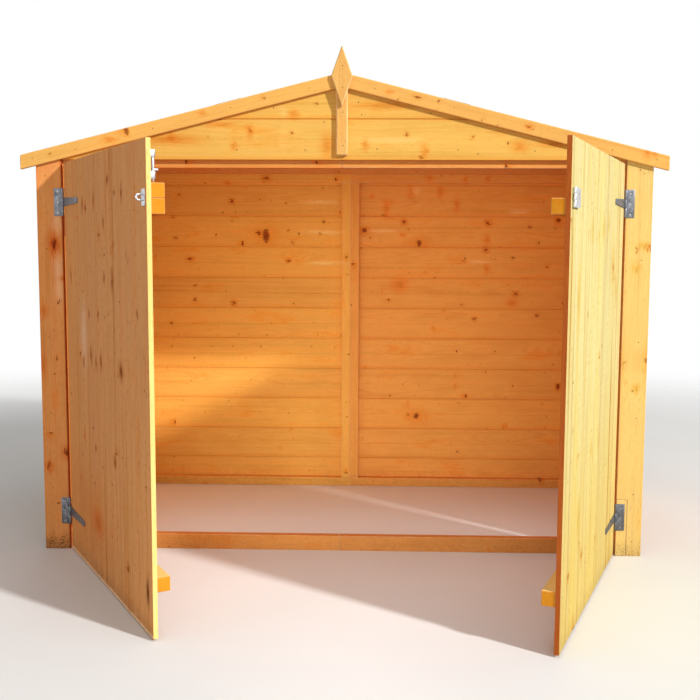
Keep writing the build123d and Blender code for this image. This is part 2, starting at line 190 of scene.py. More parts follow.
def lineNoise(value, detail, output="Fac"):
    inputs = {"W": value, "Scale": 1.0, "Detail": detail}
    return node(value.tree, "TexNoise", inputs, output, noise_dimensions="1D")


def randomOf(value):
    return node(value.tree, "TexWhiteNoise", {"W": value}, "Value", noise_dimensions="1D")


def bell(value, width, centre=0.0):
    # exp(-((value - centre) / width)^2)
    off = (value - centre) / width
    return calculate("EXPONENT", off * off * -1.0)


def objectPlace(tree):
    return node(tree, "TexCoord", None, "Object")


def newGroup(name, vectors=(), colours=(), **amounts):
    tree = bpy.data.node_groups.new(name, "ShaderNodeTree")
    kinds = dict.fromkeys(vectors, "Vector") | dict.fromkeys(colours, "Color")
    kinds |= dict.fromkeys(amounts, "Float")
    for label, kind in kinds.items():
        socket = tree.interface.new_socket(label, in_out="INPUT", socket_type="NodeSocket" + kind)
        if label in amounts:
            socket.default_value = amounts[label]
    given = tree.nodes.new("NodeGroupInput").outputs
    return tree, SimpleNamespace(**{label: Flow(given[label]) for label in kinds})


def closeGroup(tree, colour, **values):
    tree.interface.new_socket("Color", in_out="OUTPUT", socket_type="NodeSocketColor")
    for label in values:
        tree.interface.new_socket(label, in_out="OUTPUT", socket_type="NodeSocketFloat")
    made = tree.nodes.new("NodeGroupOutput")
    for label, value in {"Color": colour, **values}.items():
        feed(made.inputs[label], value)
    dropLoose(tree)
    return tree


def dropLoose(tree):
    # products that were folded into sums
    for made in tree.nodes[:]:
        if made.type in ("MATH", "VECT_MATH") and not any(socket.is_linked for socket in made.outputs):
            tree.nodes.remove(made)


def knotField(at, cell, sizes, share, wobble):
    # one knot in some cells of a grid laid over the board's face. Gives how far off it is round the knot and
    # along the grain, both counted in its radius, then its radius and whether there is one
    spots = node(at.tree, "TexVoronoi", {"Vector": at, "Scale": 1.0, "Randomness": 0.9}, "Color",
                 voronoi_dimensions="2D")
    away = (at - spots.other("Position")) * cell + wobble
    chance = spots.part(0)
    radius = ramp(chance.other(1) * chance.other(1), 0, 1, *sizes, smooth=False)
    squash = ramp(chance.other(2), 0, 1, 0.42, 1.0, smooth=False)
    shape = node(at.tree, "CombineXYZ", {0: squash, 1: 1.0})
    there = calculate("GREATER_THAN", chance, 1.0 - share)
    return length(away * shape) / radius, length(away * (0.8, 0.36, 0)) / radius, radius, there


# what knots do to pine: size of the cells that may hold one, and smallest and largest radius, in metres
knotSizes = dict(lone=((0.12, 0.31), (0.003, 0.0125)), crowd=((0.042, 0.05), (0.003, 0.0095)),
                 pin=((0.05, 0.083), (0.0012, 0.003)), whorlEvery=0.43, whorlReach=(0.026, 0.036))


def buildPineGrain():
    tree, given = newGroup(
        "pineGrain", ("grain",), ("early", "late", "knot"), tone=0.0, across=0.0, arris=0.0, ends=0.0,
        figure=0.6, knots=0.35, whorls=0.2, pins=0.15, dashes=0.5, blotch=0.3, bands=0.3, soak=0.4,
        ringWidth=0.0042)
    grain = given.grain
    rag = wavy(grain * (120, 90, 120), 1.0, 0.65, "Color") * 0.011
    # lone knots, whorls of knots side by side every so often along the trunk, and pin knots
    (wide, tall), sizes = knotSizes["lone"]
    lone = knotField(grain * (1 / wide, 1 / tall, 0), (wide, tall, 0), sizes, given.knots, rag)
    along = grain.part(1)
    turns = along / knotSizes["whorlEvery"]
    whorl = calculate("FLOOR", turns)
    offWhorl = (calculate("FRACT", turns) - (randomOf(whorl) * 0.5 + 0.25)) * knotSizes["whorlEvery"]
    (wide, tall), sizes = knotSizes["crowd"]
    cell = node(tree, "CombineXYZ", {0: along.other(0) * (1 / wide), 1: whorl * 7.0 + offWhorl / tall})
    crowd = knotField(cell, (wide, tall, 0), sizes, given.whorls, rag)
    crowdThere = crowd[3] * ramp(calculate("ABSOLUTE", offWhorl), *knotSizes["whorlReach"], 1.0, 0.0)
    nearer = calculate("LESS_THAN", crowd[0], lone[0])
    useCrowd = larger(crowdThere * nearer, crowdThere * (1.0 - lone[3]))
    q, flame, radius = (node(tree, "Mix", {0: useCrowd, 2: a, 3: b}) for a, b in zip(lone, crowd[:3]))
    there = larger(lone[3], useCrowd)
    cells, sizes = knotSizes["pin"]
    pinQ, _, _, pinThere = knotField(grain * (20, 12, 0), (*cells, 0), sizes, given.pins, rag * 0.3)

    # rings round a heart that wanders along the stick, pushed aside by each knot
    wander = (lineNoise(along * 1.7, 1.5, "Color") - 0.5) * 0.05
    push = bell(flame, 1.9) * (radius * 1.6) * there
    reach = length((grain + wander) * (1, 0, 1)) + push + cloudy(grain, (17, 2.1, 17), 2, 0.55) * 0.010
    count = lineNoise(reach * 80.0, 1.0) * 2.2 + reach / given.ringWidth
    phase = calculate("FRACT", count)
    strong = ramp(randomOf(calculate("FLOOR", count)), 0, 1, 0.25, 1.0, smooth=False)
    fibre = cloudy(grain, (1000, 19, 1000), 1)
    mottle = cloudy(grain, (260, 42, 260), 2, 0.7)
    band = cloudy(grain, (34, 0.7, 34), 1)
    streak = cloudy(grain, (100, 1.3, 100), 2, 0.7)
    blotch = cloudy(grain, (17, 5.0, 17), 3, 0.62)
    late = ramp(phase, 0.15, 0.88) * ramp(phase, 0.86, 1.0, 1.0, 0.0) * strong
    late = late * ramp(mottle, -0.22, 0.12, 0.45, 1.0)
    tick = ramp(cloudy(grain, (420, 50, 420), 0), 0.20, 0.27)
    stroke = ramp(cloudy(grain, (190, 26, 190), 1), 0.21, 0.28)
    dash = clamped(larger(tick, stroke) * ramp(blotch, -0.12, 0.08, 0.2, 1.0) * given.dashes)

    streaks = (streak * 1.3 + band) * given.bands
    figure = clamped(late * given.figure + 0.06 + streaks * 1.2 + mottle * 0.35 + fibre * 0.25)
    colour = tint(figure, given.early, given.late)
    colour = tint(clamped(given.tone * 0.45 + 0.5), colour * (0.98, 0.99, 1.05), colour * (1.0, 0.97, 0.90))
    shade = fibre * 0.14 + given.tone * 0.05 + mottle * 0.18 + streaks * 0.5 + blotch * given.blotch
    colour = colour * (shade * (0.62, 1.12, 1.7) + 1.0)  # darker wood is redder too
    # stain soaks in deeper in patches, round the knots and along the board's edges
    halo = bell(flame, 2.3) * there + bell(q, 3.4) * (there * 0.6) + bell(pinQ, 2.8) * (pinThere * 0.5)
    halo = halo * ramp(mottle, -0.25, 0.15, 0.5, 1.0)
    brim = ramp(calculate("ABSOLUTE", given.across) + blotch * 0.35, 0.72, 1.02)
    patch = larger(ramp(blotch, 0.03, 0.24), brim * 0.8)
    colour = tint(clamped(patch * given.soak + halo * 0.62), colour, colour * (0.95, 0.70, 0.40))
    # knots: growth rings, a dark heart and a dark rim
    core = ramp(q, 0.62, 1.12, 1.0, 0.0) * there
    dark = given.knot * (0.40, 0.32, 0.28)
    rings = given.knot * (calculate("SINE", q * 15.0) * 0.14 + 1.0)
    colour = tint(core * 0.88, colour, tint(ramp(q, 0.0, 0.55, 0.6, 0.0), rings, dark))
    rim = bell(q, 0.16, 0.98) * there * ramp(mottle, -0.12, 0.14, 0.1, 1.0)
    colour = tint(rim * 0.8, colour, dark)
    colour = tint(ramp(pinQ, 0.6, 1.25, 1.0, 0.0) * pinThere * 0.85, colour, dark)
    colour = tint(dash * 0.8, colour, colour * (0.62, 0.38, 0.22))
    # sawn ends drink more stain; arrises are lighter, partly wear and partly a painted highlight where they
    # would catch the light
    colour = tint(given.ends * 0.7, colour, colour * (1.0, 0.86, 0.34))
    wornAndLit = given.arris * ramp(mottle, -0.15, 0.1, 0.25, 0.75)
    colour = tint(wornAndLit, colour, tint(0.5, given.early, linear(255, 238, 196)))
    return closeGroup(tree, colour, Roughness=late * -0.07 + 0.60 + blotch * 0.25 + core * -0.12,
                      Height=mottle * 0.8 + fibre)


def buildPlacedKnot():
    # one knot or stain at a stated spot: a soft glow with a harder core
    tree, given = newGroup("placedKnot", ("position", "centre", "size", "glow"), ("colour", "core"),
                           glowAmount=0.8, coreAmount=0.5)
    far = length((given.position - given.centre) / given.size)
    glow = ramp(far, 0.0, 1.85, given.glowAmount, 0.0)
    colour = given.colour * (glow * given.glow + 1.0)
    return closeGroup(tree, tint(ramp(far, 0.30, 0.62, given.coreAmount, 0.0), colour, given.core))


def buildGroundSplash():
    # rain splash and dust over the lowest few centimetres
    tree, given = newGroup("groundSplash", ("position",), ("colour",), reach=0.06, amount=0.5)
    place = given.position
    level = (place.part(2) + cloudy(place, (38, 38, 22), 3, 0.65) * 0.07) / given.reach
    speck = ramp(cloudy(place, 420, 1), 0.08, 0.20)
    dirt = clamped(ramp(level, 0.0, 1.0, 1.0, 0.0) * (speck * 0.5 + 0.5) * given.amount)
    spots = ramp(cloudy(place, 230, 2, 0.6), 0.02, 0.10) * ramp(level, 0.25, 1.1, 1.0, 0.0)
    colour = tint(dirt, given.colour, linear(128, 92, 62))
    return closeGroup(tree, tint(spots * given.amount, colour, linear(58, 34, 20)))


def buildZincSkin():
    # crystals of the zinc coat with dull patches
    tree, given = newGroup("zincSkin", ("position",), ("light", "dark"), crystal=260.0, rough=0.38)
    shade = node(tree, "TexVoronoi", {"Vector": given.position, "Scale": given.crystal}, "Color").part(0)
    dull = ramp(cloudy(given.position, 70, 3, 0.6), -0.08, 0.2)
    scratch = cloudy(given.position, (300, 300, 2600), 2)
    return closeGroup(tree, tint(clamped(shade * 0.55 + dull * 0.45), given.light, given.dark),
                      Roughness=dull * 0.22 + given.rough + scratch * 0.12,
                      Height=scratch * 0.4 + shade * 0.25)


def buildMineralSkin():
    # crushed mineral on bitumen felt
    tree, given = newGroup("mineralSkin", ("position",), ("light", "dark"))
    grit = node(tree, "TexVoronoi", {"Vector": given.position, "Scale": 620.0}, "Color")
    tone = grit.part(0)
    mixed = clamped(cloudy(given.position, (9, 5, 9), 3, 0.6) * 0.8 + tone)
    return closeGroup(tree, tint(mixed, given.light, given.dark), Roughness=tone * 0.12 + 0.82,
                      Height=0.6 - grit.other("Distance"))


pineGrain, groundSplash, placedKnot = buildPineGrain(), buildGroundSplash(), buildPlacedKnot()
zincSkin, mineralSkin = buildZincSkin(), buildMineralSkin()


def newMaterial(name, metallic=0.0, specular=0.3):
    made = bpy.data.materials.new(name)
    made.use_nodes = True
    shader = made.node_tree.nodes["Principled BSDF"].inputs
    shader["Metallic"].default_value = metallic
    shader["Specular IOR Level"].default_value = specular
    return made, made.node_tree, shader


def coat(tree, shader, colour, skin, strength, distance):
    relief = {"Height": skin.other("Height"), "Strength": strength, "Distance": distance}
    feed(shader["Base Color"], colour)
    feed(shader["Roughness"], skin.other("Roughness"))
    feed(shader["Normal"], node(tree, "Bump", relief, "Normal"))
    dropLoose(tree)


def doorSwing(s):
    angle = math.radians(doorLeaf["rightOpen"] if s > 0 else doorLeaf["leftOpen"])
    pin = Vector((s * doorLeaf["hingeX"], doorLeaf["hingeY"], 0))
    return Matrix.Translation(pin) @ Matrix.Rotation(angle, 4, "Z") @ Matrix.Translation(-pin)


# colour the wood takes near the mark, how strongly, and how strong its core is
markKinds = dict(
    flame=((0.97, 0.64, 0.36), 0.9, 0.12), ochre=((0.93, 0.78, 0.38), 0.9, 0.12),
    pale=((1.14, 1.5, 2.5), 0.8, 0.0), warm=((0.97, 0.80, 0.62), 0.8, 0.0), wash=((1.05, 1.16, 1.5), 0.8, 0.0),
    # the pale mark along a door's foot is a painted highlight, in part a pale chipped edge
    gold=((0.99, 0.84, 0.52), 0.75, 0.0), bare=((1.7, 2.6, 4.6), 1.0, 0.0),
    # line darkens: painted shade
    line=((0.42, 0.18, 0.10), 1.0, 0.0), knot=((0.86, 0.50, 0.28), 0.9, 0.8),
    dot=((0.86, 0.62, 0.42), 0.6, 0.8), dash=((0.66, 0.38, 0.17), 0.95, 0.7),
    stain=((0.30, 0.18, 0.14), 1.0, 0.7))
markDepth = dict(wall=0.15, line=0.02, other=0.01)
# marks by kind, in millimetres: place across and up the face, half size across and up
gableMarks = dict(
    flame=[(-530, 1297, 100, 16), (-368, 1341, 50, 8), (-45, 1278, 20, 34), (-147, 1373, 16, 15),
           (-282, 1319, 10, 21), (-332, 1279, 10, 16), (-527, 1305, 12, 14), (71, 1281, 11, 18),
           (254, 1262, 11, 20), (543, 1276, 24, 17), (130, 1400, 90, 12), (649, 1285, 50, 11)],
    wash=[(-178, 1380, 10, 14), (-181, 1292, 12, 24), (150, 1296, 110, 10)],
    dot=[(-80, 1407, 7, 6), (-282, 1326, 6, 9), (245, 1245, 6, 8)],
    knot=[(-156, 1317, 8, 7), (199, 1314, 7, 9), (400, 1306, 7, 7)])
leftPostMarks = dict(
    pale=[(-888, 1040, 14, 36), (-889, 916, 14, 32), (-886, 835, 12, 50)],
    flame=[(-899, 972, 22, 46), (-936, 769, 15, 22), (-947, 595, 15, 34), (-871, 870, 14, 12),
           (-933, 270, 16, 18)],
    knot=[(-897, 976, 15, 26), (-877, 316, 15, 22)],
    dot=[(-888, 794, 8, 12), (-933, 270, 10, 10), (-898, 620, 6, 6)],
    # a painted shade strip down the post's inner edge, where the gap beside the left door lies in shade
    line=[(-869.5, 600, 3, 3000)])
rightPostMarks = dict(
    ochre=[(930, 977, 22, 12), (906, 910, 14, 16), (918, 538, 14, 14)],
    knot=[(947, 973, 14, 9)],
    dot=[(907, 965, 6, 6), (879, 610, 6, 7)])
rightDoorMarks = dict(
    ochre=[(314, 1017, 13, 34), (492, 1025, 18, 36), (579, 1038, 14, 28), (411, 1005, 10, 14),
           (140, 846, 18, 70), (755, 847, 14, 34), (499, 439, 13, 28), (384, 432, 12, 24),
           (213, 284, 16, 60)],
    dot=[(281, 1201, 8, 6), (275, 802, 10, 10), (108, 531, 9, 7), (93, 455, 7, 5)],
    knot=[(274, 175, 12, 18), (498, 160, 10, 10)],
    gold=[(430, 0, 1100, 420)])
leftDoorMarks = dict(
    pale=[(-648, 708, 34, 90)],
    dash=[(-354, 1145, 12, 14), (-507, 1098, 9, 20), (-636, 1091, 9, 22), (-287, 1110, 10, 9),
          (-221, 1105, 10, 20), (-404, 1035, 8, 18), (-324, 876, 11, 30), (-406, 884, 10, 15),
          (-798, 878, 7, 24), (-582, 777, 8, 14), (-479, 778, 10, 12), (-656, 627, 10, 16),
          (-569, 657, 10, 26), (-513, 639, 10, 16), (-457, 648, 11, 26), (-253, 643, 22, 22),
          (-97, 804, 9, 12), (-330, 388, 13, 18), (-535, 390, 8, 10), (-221, 124, 14, 10)],
    dot=[(-185, 948, 8, 8), (-168, 931, 8, 8)],
    stain=[(-44, 114, 12, 32)],
    flame=[(-530, 170, 60, 35), (-665, 406, 10, 30)],
    warm=[(-620, 160, 220, 150)],
    # a painted highlight along the door's foot, in part the pale of a chipped edge
    bare=[(-435, 7, 900, 5.5)])
leftWallMarks = dict(
    flame=[(-493, 1222, 15, 7)],
    pale=[(-120, 1147, 65, 7), (-110, 1028, 70, 6), (-105, 904, 70, 7)],
    knot=[(-336, 1240, 20, 14), (-478, 1150, 13, 12), (-650, 918, 18, 11), (-370, 1023, 13, 12),
          (-253, 912, 12, 10), (-473, 741, 12, 14)],
    dot=[(-586, 1221, 7, 5), (-687, 1174, 9, 7), (-716, 1086, 9, 9), (-705, 1002, 10, 9),
         (-631, 756, 11, 11), (-631, 813, 9, 9), (-233, 984, 9, 8), (-249, 1036, 8, 7), (-260, 1143, 7, 6),
         (-108, 1068, 9, 9), (-124, 1020, 9, 7), (-726, 658, 9, 8)])
rightWallMarks = dict(
    flame=[(239, 1188, 13, 24), (358, 1188, 12, 22), (140, 1122, 12, 30), (423, 1137, 11, 27),
           (209, 1018, 13, 9), (544, 999, 12, 20), (546, 884, 13, 20), (649, 748, 22, 16),
           (84, 1172, 10, 10), (199, 818, 32, 28), (312, 1241, 10, 14), (454, 1234, 9, 14),
           (540, 1240, 9, 14)],
    pale=[(120, 1033, 55, 7), (255, 1192, 20, 13), (518, 911, 40, 6), (673, 1110, 35, 10)],
    knot=[(212, 1069, 13, 13), (547, 1067, 14, 14), (541, 959, 12, 13), (664, 784, 13, 12),
          (498, 683, 11, 9)],
    dot=[(132, 1097, 7, 8), (714, 1051, 11, 9), (649, 928, 8, 8), (450, 915, 8, 7), (785, 893, 11, 8),
         (750, 700, 10, 9), (81, 1005, 7, 6), (449, 739, 8, 7)])
bargeMarks = dict(
    flame=[(570, 1334, 13, 10), (926, 1260, 12, 22), (950, 1262, 8, 18), (146, 1438, 16, 7),
           (-427, 1375, 11, 9), (-712, 1294, 22, 10)],
    dot=[(228, 1423, 13, 10), (297, 1411, 7, 6), (428, 1355, 6, 6), (570, 1334, 9, 8), (-240, 1420, 8, 7),
         (-899, 1251, 7, 6)])
# marks, the face they lie on, its swing, and how far the marks run ragged across, deep and up
levelGrain, uprightGrain = (0.034, 0.0, 0.016), (0.015, 0.015, 0.044)
markedFaces = dict(
    gable=(gableMarks, frontFace, 0, levelGrain),
    barge=(bargeMarks, frontFace - shelter["bargeThick"], 0, levelGrain),
    leftPost=(leftPostMarks, frontFace, 0, uprightGrain),
    rightPost=(rightPostMarks, frontFace, 0, uprightGrain),
    leftDoor=(leftDoorMarks, frontFace, -1, uprightGrain),
    rightDoor=(rightDoorMarks, frontFace, 1, uprightGrain),
    leftWall=(leftWallMarks, backBoards, 0, levelGrain),
    rightWall=(rightWallMarks, backBoards, 0, levelGrain))


def addMarks(tree, grain, colour, core, marked):
    marks, face, swung, ragged = markedFaces[marked]
    swing = doorSwing(swung) if swung else Matrix.Identity(4)
    place = objectPlace(tree)
    frayed = wavy(grain * (240, 40, 240), 1.0, output="Color") * ragged + place
    for kind, rows in marks.items():
        glow, glowAmount, coreAmount = markKinds[kind]
        straight = kind in ("bare", "line", "gold")
        deep = markDepth["wall"] if face == backBoards else markDepth.get(kind, markDepth["other"])
        for x, z, wide, tall in rows:
            colour = node(tree, "Group", {
                "colour": colour, "position": place if straight else frayed, "core": core,
                "centre": swing @ Vector((x / 1000, face, z / 1000)), "glow": [part - 1 for part in glow],
                "size": (wide / 1000, wide / 1000 if swung else deep, tall / 1000),
                "glowAmount": glowAmount, "coreAmount": coreAmount,
            }, "Color", node_tree=placedKnot)
    return colour


# amounts that each pine below has in this order, after its early wood, late wood and knots
pineAmounts = ("figure", "knots", "whorls", "pins", "dashes", "blotch", "bands", "soak", "ringWidth")
# then splash from the ground and, on the faces that the photo shows, marks
pines = dict(
    gablePine=((235, 189, 96), (217, 148, 58), (170, 88, 30),
               (0.30, 0.04, 0.06, 0.06, 0.3, 0.30, 0.9, 0.8, 0.0050), 0, "gable"),
    trimPine=((234, 184, 106), (210, 147, 70), (160, 84, 34),
              (0.30, 0.05, 0.1, 0.1, 0.4, 0.30, 0.8, 0.35, 0.0032), 0),
    bargePine=((236, 182, 98), (212, 146, 62), (160, 84, 34),
               (0.30, 0.05, 0.1, 0.1, 0.4, 0.34, 0.9, 0.45, 0.0032), 0, "barge"),
    rightPostPine=((233, 201, 124), (212, 160, 76), (176, 96, 40),
                   (0.30, 0.03, 0.05, 0.15, 0.5, 0.28, 0.8, 0.45, 0.0042), 0.35, "rightPost"),
    # left post: redder, partly its own tone and partly painted shade
    leftPostPine=((240, 166, 98), (212, 118, 56), (138, 42, 18),
                  (0.4, 0.05, 0.1, 0.2, 0.6, 0.50, 1.2, 0.6, 0.0042), 0.8, "leftPost"),
    # right door: pale lemon, partly its own tone and partly painted sunlight; its back faces take doorBackPine
    rightDoorPine=((228, 218, 156), (200, 168, 84), (190, 124, 50),
                   (0.24, 0.03, 0.06, 0.12, 0.9, 0.22, 2.6, 0.3, 0.0042), 0.2, "rightDoor"),
    # left door: redder, partly its own tone and partly painted shade
    leftDoorPine=((244, 176, 112), (212, 126, 66), (126, 54, 20),
                  (0.28, 0.03, 0.06, 0.2, 1.0, 0.34, 1.7, 0.45, 0.0042), 0.3, "leftDoor"),
    leftWallPine=((250, 190, 92), (232, 148, 54), (150, 58, 18),
                  (0.30, 0.05, 0.1, 0.2, 0.4, 0.36, 0.8, 0.7, 0.0042), 0.25, "leftWall"),
    # right back panel: darker and redder than the left, partly painted shade
    rightWallPine=((246, 176, 88), (222, 132, 52), (150, 54, 18),
                   (0.30, 0.05, 0.1, 0.2, 0.4, 0.42, 0.8, 0.7, 0.0042), 0.25, "rightWall"),
    sidePine=((238, 174, 90), (210, 130, 56), (146, 68, 26),
              (0.36, 0.25, 0.4, 0.2, 0.45, 0.40, 0.5, 0.6, 0.0042), 0.6),
    battenPine=((236, 164, 88), (204, 120, 52), (136, 60, 22),
                (0.34, 0.2, 0.3, 0.15, 0.45, 0.38, 0.5, 0.6, 0.0030), 0.15),
    doorBackPine=((240, 180, 100), (214, 140, 66), (150, 76, 30),
                  (0.30, 0.15, 0.3, 0.2, 0.5, 0.36, 0.8, 0.5, 0.0042), 0.3),
    ledgePine=((230, 160, 60), (204, 126, 40), (150, 76, 30),
               (0.36, 0.15, 0.3, 0.15, 0.5, 0.44, 0.6, 0.6, 0.0030), 0),
    # painted light: pale as sunlit wood, for the left leaf's meeting edge and the ledges' top faces
    paintedLightEdgePine=((250, 226, 146), (238, 196, 104), (150, 76, 34),
                  (0.3, 0, 0, 0.1, 0.5, 0.3, 0.5, 0.3, 0.0042), 0),
    # painted shade: dark as shadowed wood, for the right leaf's meeting edge
    paintedShadeEdgePine=((194, 108, 50), (160, 72, 30), (150, 76, 34),
                  (0.4, 0, 0, 0.1, 0.5, 0.4, 0.5, 0.5, 0.0042), 0),
    roofPine=((236, 166, 88), (204, 120, 50), (136, 60, 24),
              (0.36, 0.25, 0.4, 0.15, 0.4, 0.36, 0.3, 0.4, 0.0042), 0))
# group, light and dark colour, strength and distance of the bump, metallic, specular, and the group's amounts
skins = dict(
    nailSteel=(zincSkin, (104, 78, 54), (56, 40, 28), 0.2, 0.0002, 0.5, 0.4, dict(rough=0.5)),
    galvanised=(zincSkin, (130, 132, 138), (94, 96, 102), 0.3, 0.0003, 0.8, 0.4, dict(rough=0.42)),
    brightZinc=(zincSkin, (222, 224, 228), (176, 180, 188), 0.2, 0.0002, 0.9, 0.4,
                dict(rough=0.28, crystal=420.0)),
    screwSteel=(zincSkin, (228, 226, 222), (170, 166, 160), 0.15, 0.0002, 0.9, 0.4,
                dict(rough=0.3, crystal=600.0)),
    roofFelt=(mineralSkin, (98, 96, 92), (46, 46, 46), 0.6, 0.0012, 0.0, 0.2, {}))


pineCoat = dict(specular=0.03, bump=0.35, bumpDepth=0.0007, coreShade=0.86)


def pineMaterial(name, early, late, knot, amounts, splash, marked=None):
    made, tree, shader = newMaterial(name, specular=pineCoat["specular"])
    grain = node(tree, "Attribute", None, "Vector", attribute_name="grain")
    written = {label: node(tree, "Attribute", None, "Fac", attribute_name=label)
               for label in ("tone", "across", "arris", "ends")}
    woods = {"early": linear(*early), "late": linear(*late), "knot": linear(*knot)}
    inputs = {"grain": grain, **written, **woods, **dict(zip(pineAmounts, amounts))}
    skin = node(tree, "Group", inputs, "Color", node_tree=pineGrain)
    colour = skin
    if marked:
        colour = addMarks(tree, grain, colour, linear(*(c * pineCoat["coreShade"] for c in knot)), marked)
    if splash:
        inputs = {"colour": colour, "position": objectPlace(tree), "amount": splash}
        colour = node(tree, "Group", inputs, "Color", node_tree=groundSplash)
    coat(tree, shader, colour, skin, pineCoat["bump"], pineCoat["bumpDepth"])
    return made


def skinMaterial(name, group, light, dark, strength, distance, metallic, specular, amounts):
    made, tree, shader = newMaterial(name, metallic, specular)
    inputs = {"position": objectPlace(tree), "light": linear(*light), "dark": linear(*dark), **amounts}
    skin = node(tree, "Group", inputs, "Color", node_tree=group)
    coat(tree, shader, skin, skin, strength, distance)
    return made


finishes = {name: pineMaterial(name, *row) for name, row in pines.items()}
finishes |= {name: skinMaterial(name, *row) for name, row in skins.items()}
print("finishes made:", len(finishes))


def newPiece():
    made = bmesh.new()
    made.verts.layers.float_vector.new("grain")
    made.verts.layers.float.new("tone")
    made.verts.layers.float.new("across")
    made.faces.layers.float.new("arris")
    made.faces.layers.float.new("ends")
    return made


def addTo(target, piece):
    carried = bpy.data.meshes.new("carried")
    piece.to_mesh(carried)
    piece.free()
    target.from_mesh(carried)
    bpy.data.meshes.remove(carried)


def placeAt(origin, along, out):
    turn = Matrix((along.cross(out), along, out)).transposed().to_4x4()
    return Matrix.Translation(origin) @ turn


def sharpEdges(bm, degrees):
    limit = math.radians(degrees)
    return [e for e in bm.edges if len(e.link_faces) == 2 and e.calc_face_angle_signed(0) > limit]


def pushOut(bm, face, vector):
    # thickens a flat face into a solid
    run = bmesh.ops.extrude_face_region(bm, geom=[face])
    bmesh.ops.translate(bm, vec=vector, verts=[v for v in run["geom"] if isinstance(v, bmesh.types.BMVert)])


logShape = dict(length=60, heartNear=0.02, heartFar=0.07, toneSpread=0.5, endFacing=0.85, arrisBend=25)


def shapeWood(bm, target, place, rnd, cuts, arris, segments, spread, wear=1.0):
    # cut the raw stick, take off its arrises, then write where it lies in its log
    back = place.inverted()
    for point, away in cuts:
        geom = bm.verts[:] + bm.edges[:] + bm.faces[:]
        cut = bmesh.ops.bisect_plane(bm, geom=geom, dist=1e-6, plane_co=back @ point,
                                     plane_no=back.to_3x3() @ away, clear_outer=True)
        rim = [e for e in cut["geom_cut"] if isinstance(e, bmesh.types.BMEdge) and len(e.link_faces) == 1]
        if rim:
            bmesh.ops.contextual_create(bm, geom=rim)
    bmesh.ops.recalc_face_normals(bm, faces=bm.faces[:])
    arrisLayer, endLayer = bm.faces.layers.float["arris"], bm.faces.layers.float["ends"]
    if arris:
        edges = sharpEdges(bm, logShape["arrisBend"])
        wornAndLit = bmesh.ops.bevel(bm, geom=edges, offset=arris, offset_type="OFFSET", segments=segments,
                               profile=0.5, affect="EDGES", clamp_overlap=True, material=-1)
        # bevel faces are lightened by this share: wear, and in part a painted highlight
        for face in wornAndLit["faces"]:
            face[arrisLayer] = wear
    grainLayer, toneLayer = bm.verts.layers.float_vector["grain"], bm.verts.layers.float["tone"]
    heart = Vector((rnd.uniform(-spread, spread), rnd.uniform(0, logShape["length"]),
                    rnd.choice((-1, 1)) * rnd.uniform(logShape["heartNear"], logShape["heartFar"])))
    tone = max(-1.0, min(1.0, rnd.gauss(0, logShape["toneSpread"])))
    acrossLayer = bm.verts.layers.float["across"]
    left, right = min(v.co.x for v in bm.verts), max(v.co.x for v in bm.verts)
    for v in bm.verts:
        v[grainLayer] = v.co + heart
        v[toneLayer] = tone
        v[acrossLayer] = (2 * v.co.x - left - right) / (right - left)
    for face in bm.faces:
        if abs(face.normal.y) > logShape["endFacing"] and not face[arrisLayer]:
            face[endLayer] = 1.0
    bm.transform(place)
    addTo(target, bm)


def addStick(target, section, start, end, out, rnd, cuts=(), arris=0.0012, segments=2, spread=0.05, swing=None,
             wear=1.0):
    # a section across the stick, given as (across, thickness) points, run from start to end
    bm = newPiece()
    pushOut(bm, bm.faces.new([bm.verts.new((a, 0, t)) for a, t in section]), (0, (end - start).length, 0))
    place = placeAt(start, (end - start).normalized(), out)
    shapeWood(bm, target, swing @ place if swing else place, rnd, cuts, arris, segments, spread, wear)


def addBar(target, width, thick, start, end, out, rnd, **more):
    section = [(-width / 2, 0), (width / 2, 0), (width / 2, thick), (-width / 2, thick)]
    addStick(target, section, start, end, out, rnd, **more)


def addPlate(target, outline, face, thick, out, rnd, cuts=(), arris=0.0012, segments=2, spread=0.05):
    # a flat piece whose outline is given across and up, lying with one side on a face
    place = placeAt(Vector((0, 0, 0)), zAxis, out)
    back = place.inverted()
    bm = newPiece()
    pushOut(bm, bm.faces.new([bm.verts.new(back @ Vector((x, face, z))) for x, z in outline]), (0, 0, thick))
    shapeWood(bm, target, place, rnd, cuts, arris, segments, spread)


tongue = dict(vee=0.0025, doorVee=0.0005, reach=0.0055, low=0.36, high=0.60, taper=0.04, play=0.0005,
              relief=0.0008, reliefHalf=0.002, ease=0.0008)


def boardSection(width, thick, plainFoot=False, plainHead=False, vee=tongue["vee"]):
    # tongue-and-groove board: V-jointed outer face, a shallow relief groove down the middle of the inner one
    t, w = tongue, width / 2
    tip, root = (t["low"] + t["taper"]) * thick, (t["high"] - t["taper"]) * thick
    points = [(-w if plainFoot else -w + t["ease"], 0)]
    points += [(-t["reliefHalf"], 0), (0, t["relief"]), (t["reliefHalf"], 0)]
    if plainHead:
        points += [(w, 0), (w, thick)]
    else:
        points += [(w - t["ease"], 0), (w, t["ease"]), (w, t["low"] * thick), (w + t["reach"], tip),
                   (w + t["reach"], root), (w, t["high"] * thick), (w, thick - vee), (w - vee, thick)]
    if plainFoot:
        points += [(-w, thick)]
    else:
        deep, play = -w + t["reach"] + t["play"], t["play"]
        points += [(-w + vee, thick), (-w, thick - vee), (-w, t["high"] * thick + play), (deep, root + play),
                   (deep, tip - play), (-w, t["low"] * thick - play), (-w, t["ease"])]
    return points


def facing(spot, out):
    return Matrix.Translation(spot) @ out.to_track_quat("Z", "Y").to_matrix().to_4x4()


nailHead = dict(sides=8, rings=4, flat=0.3)


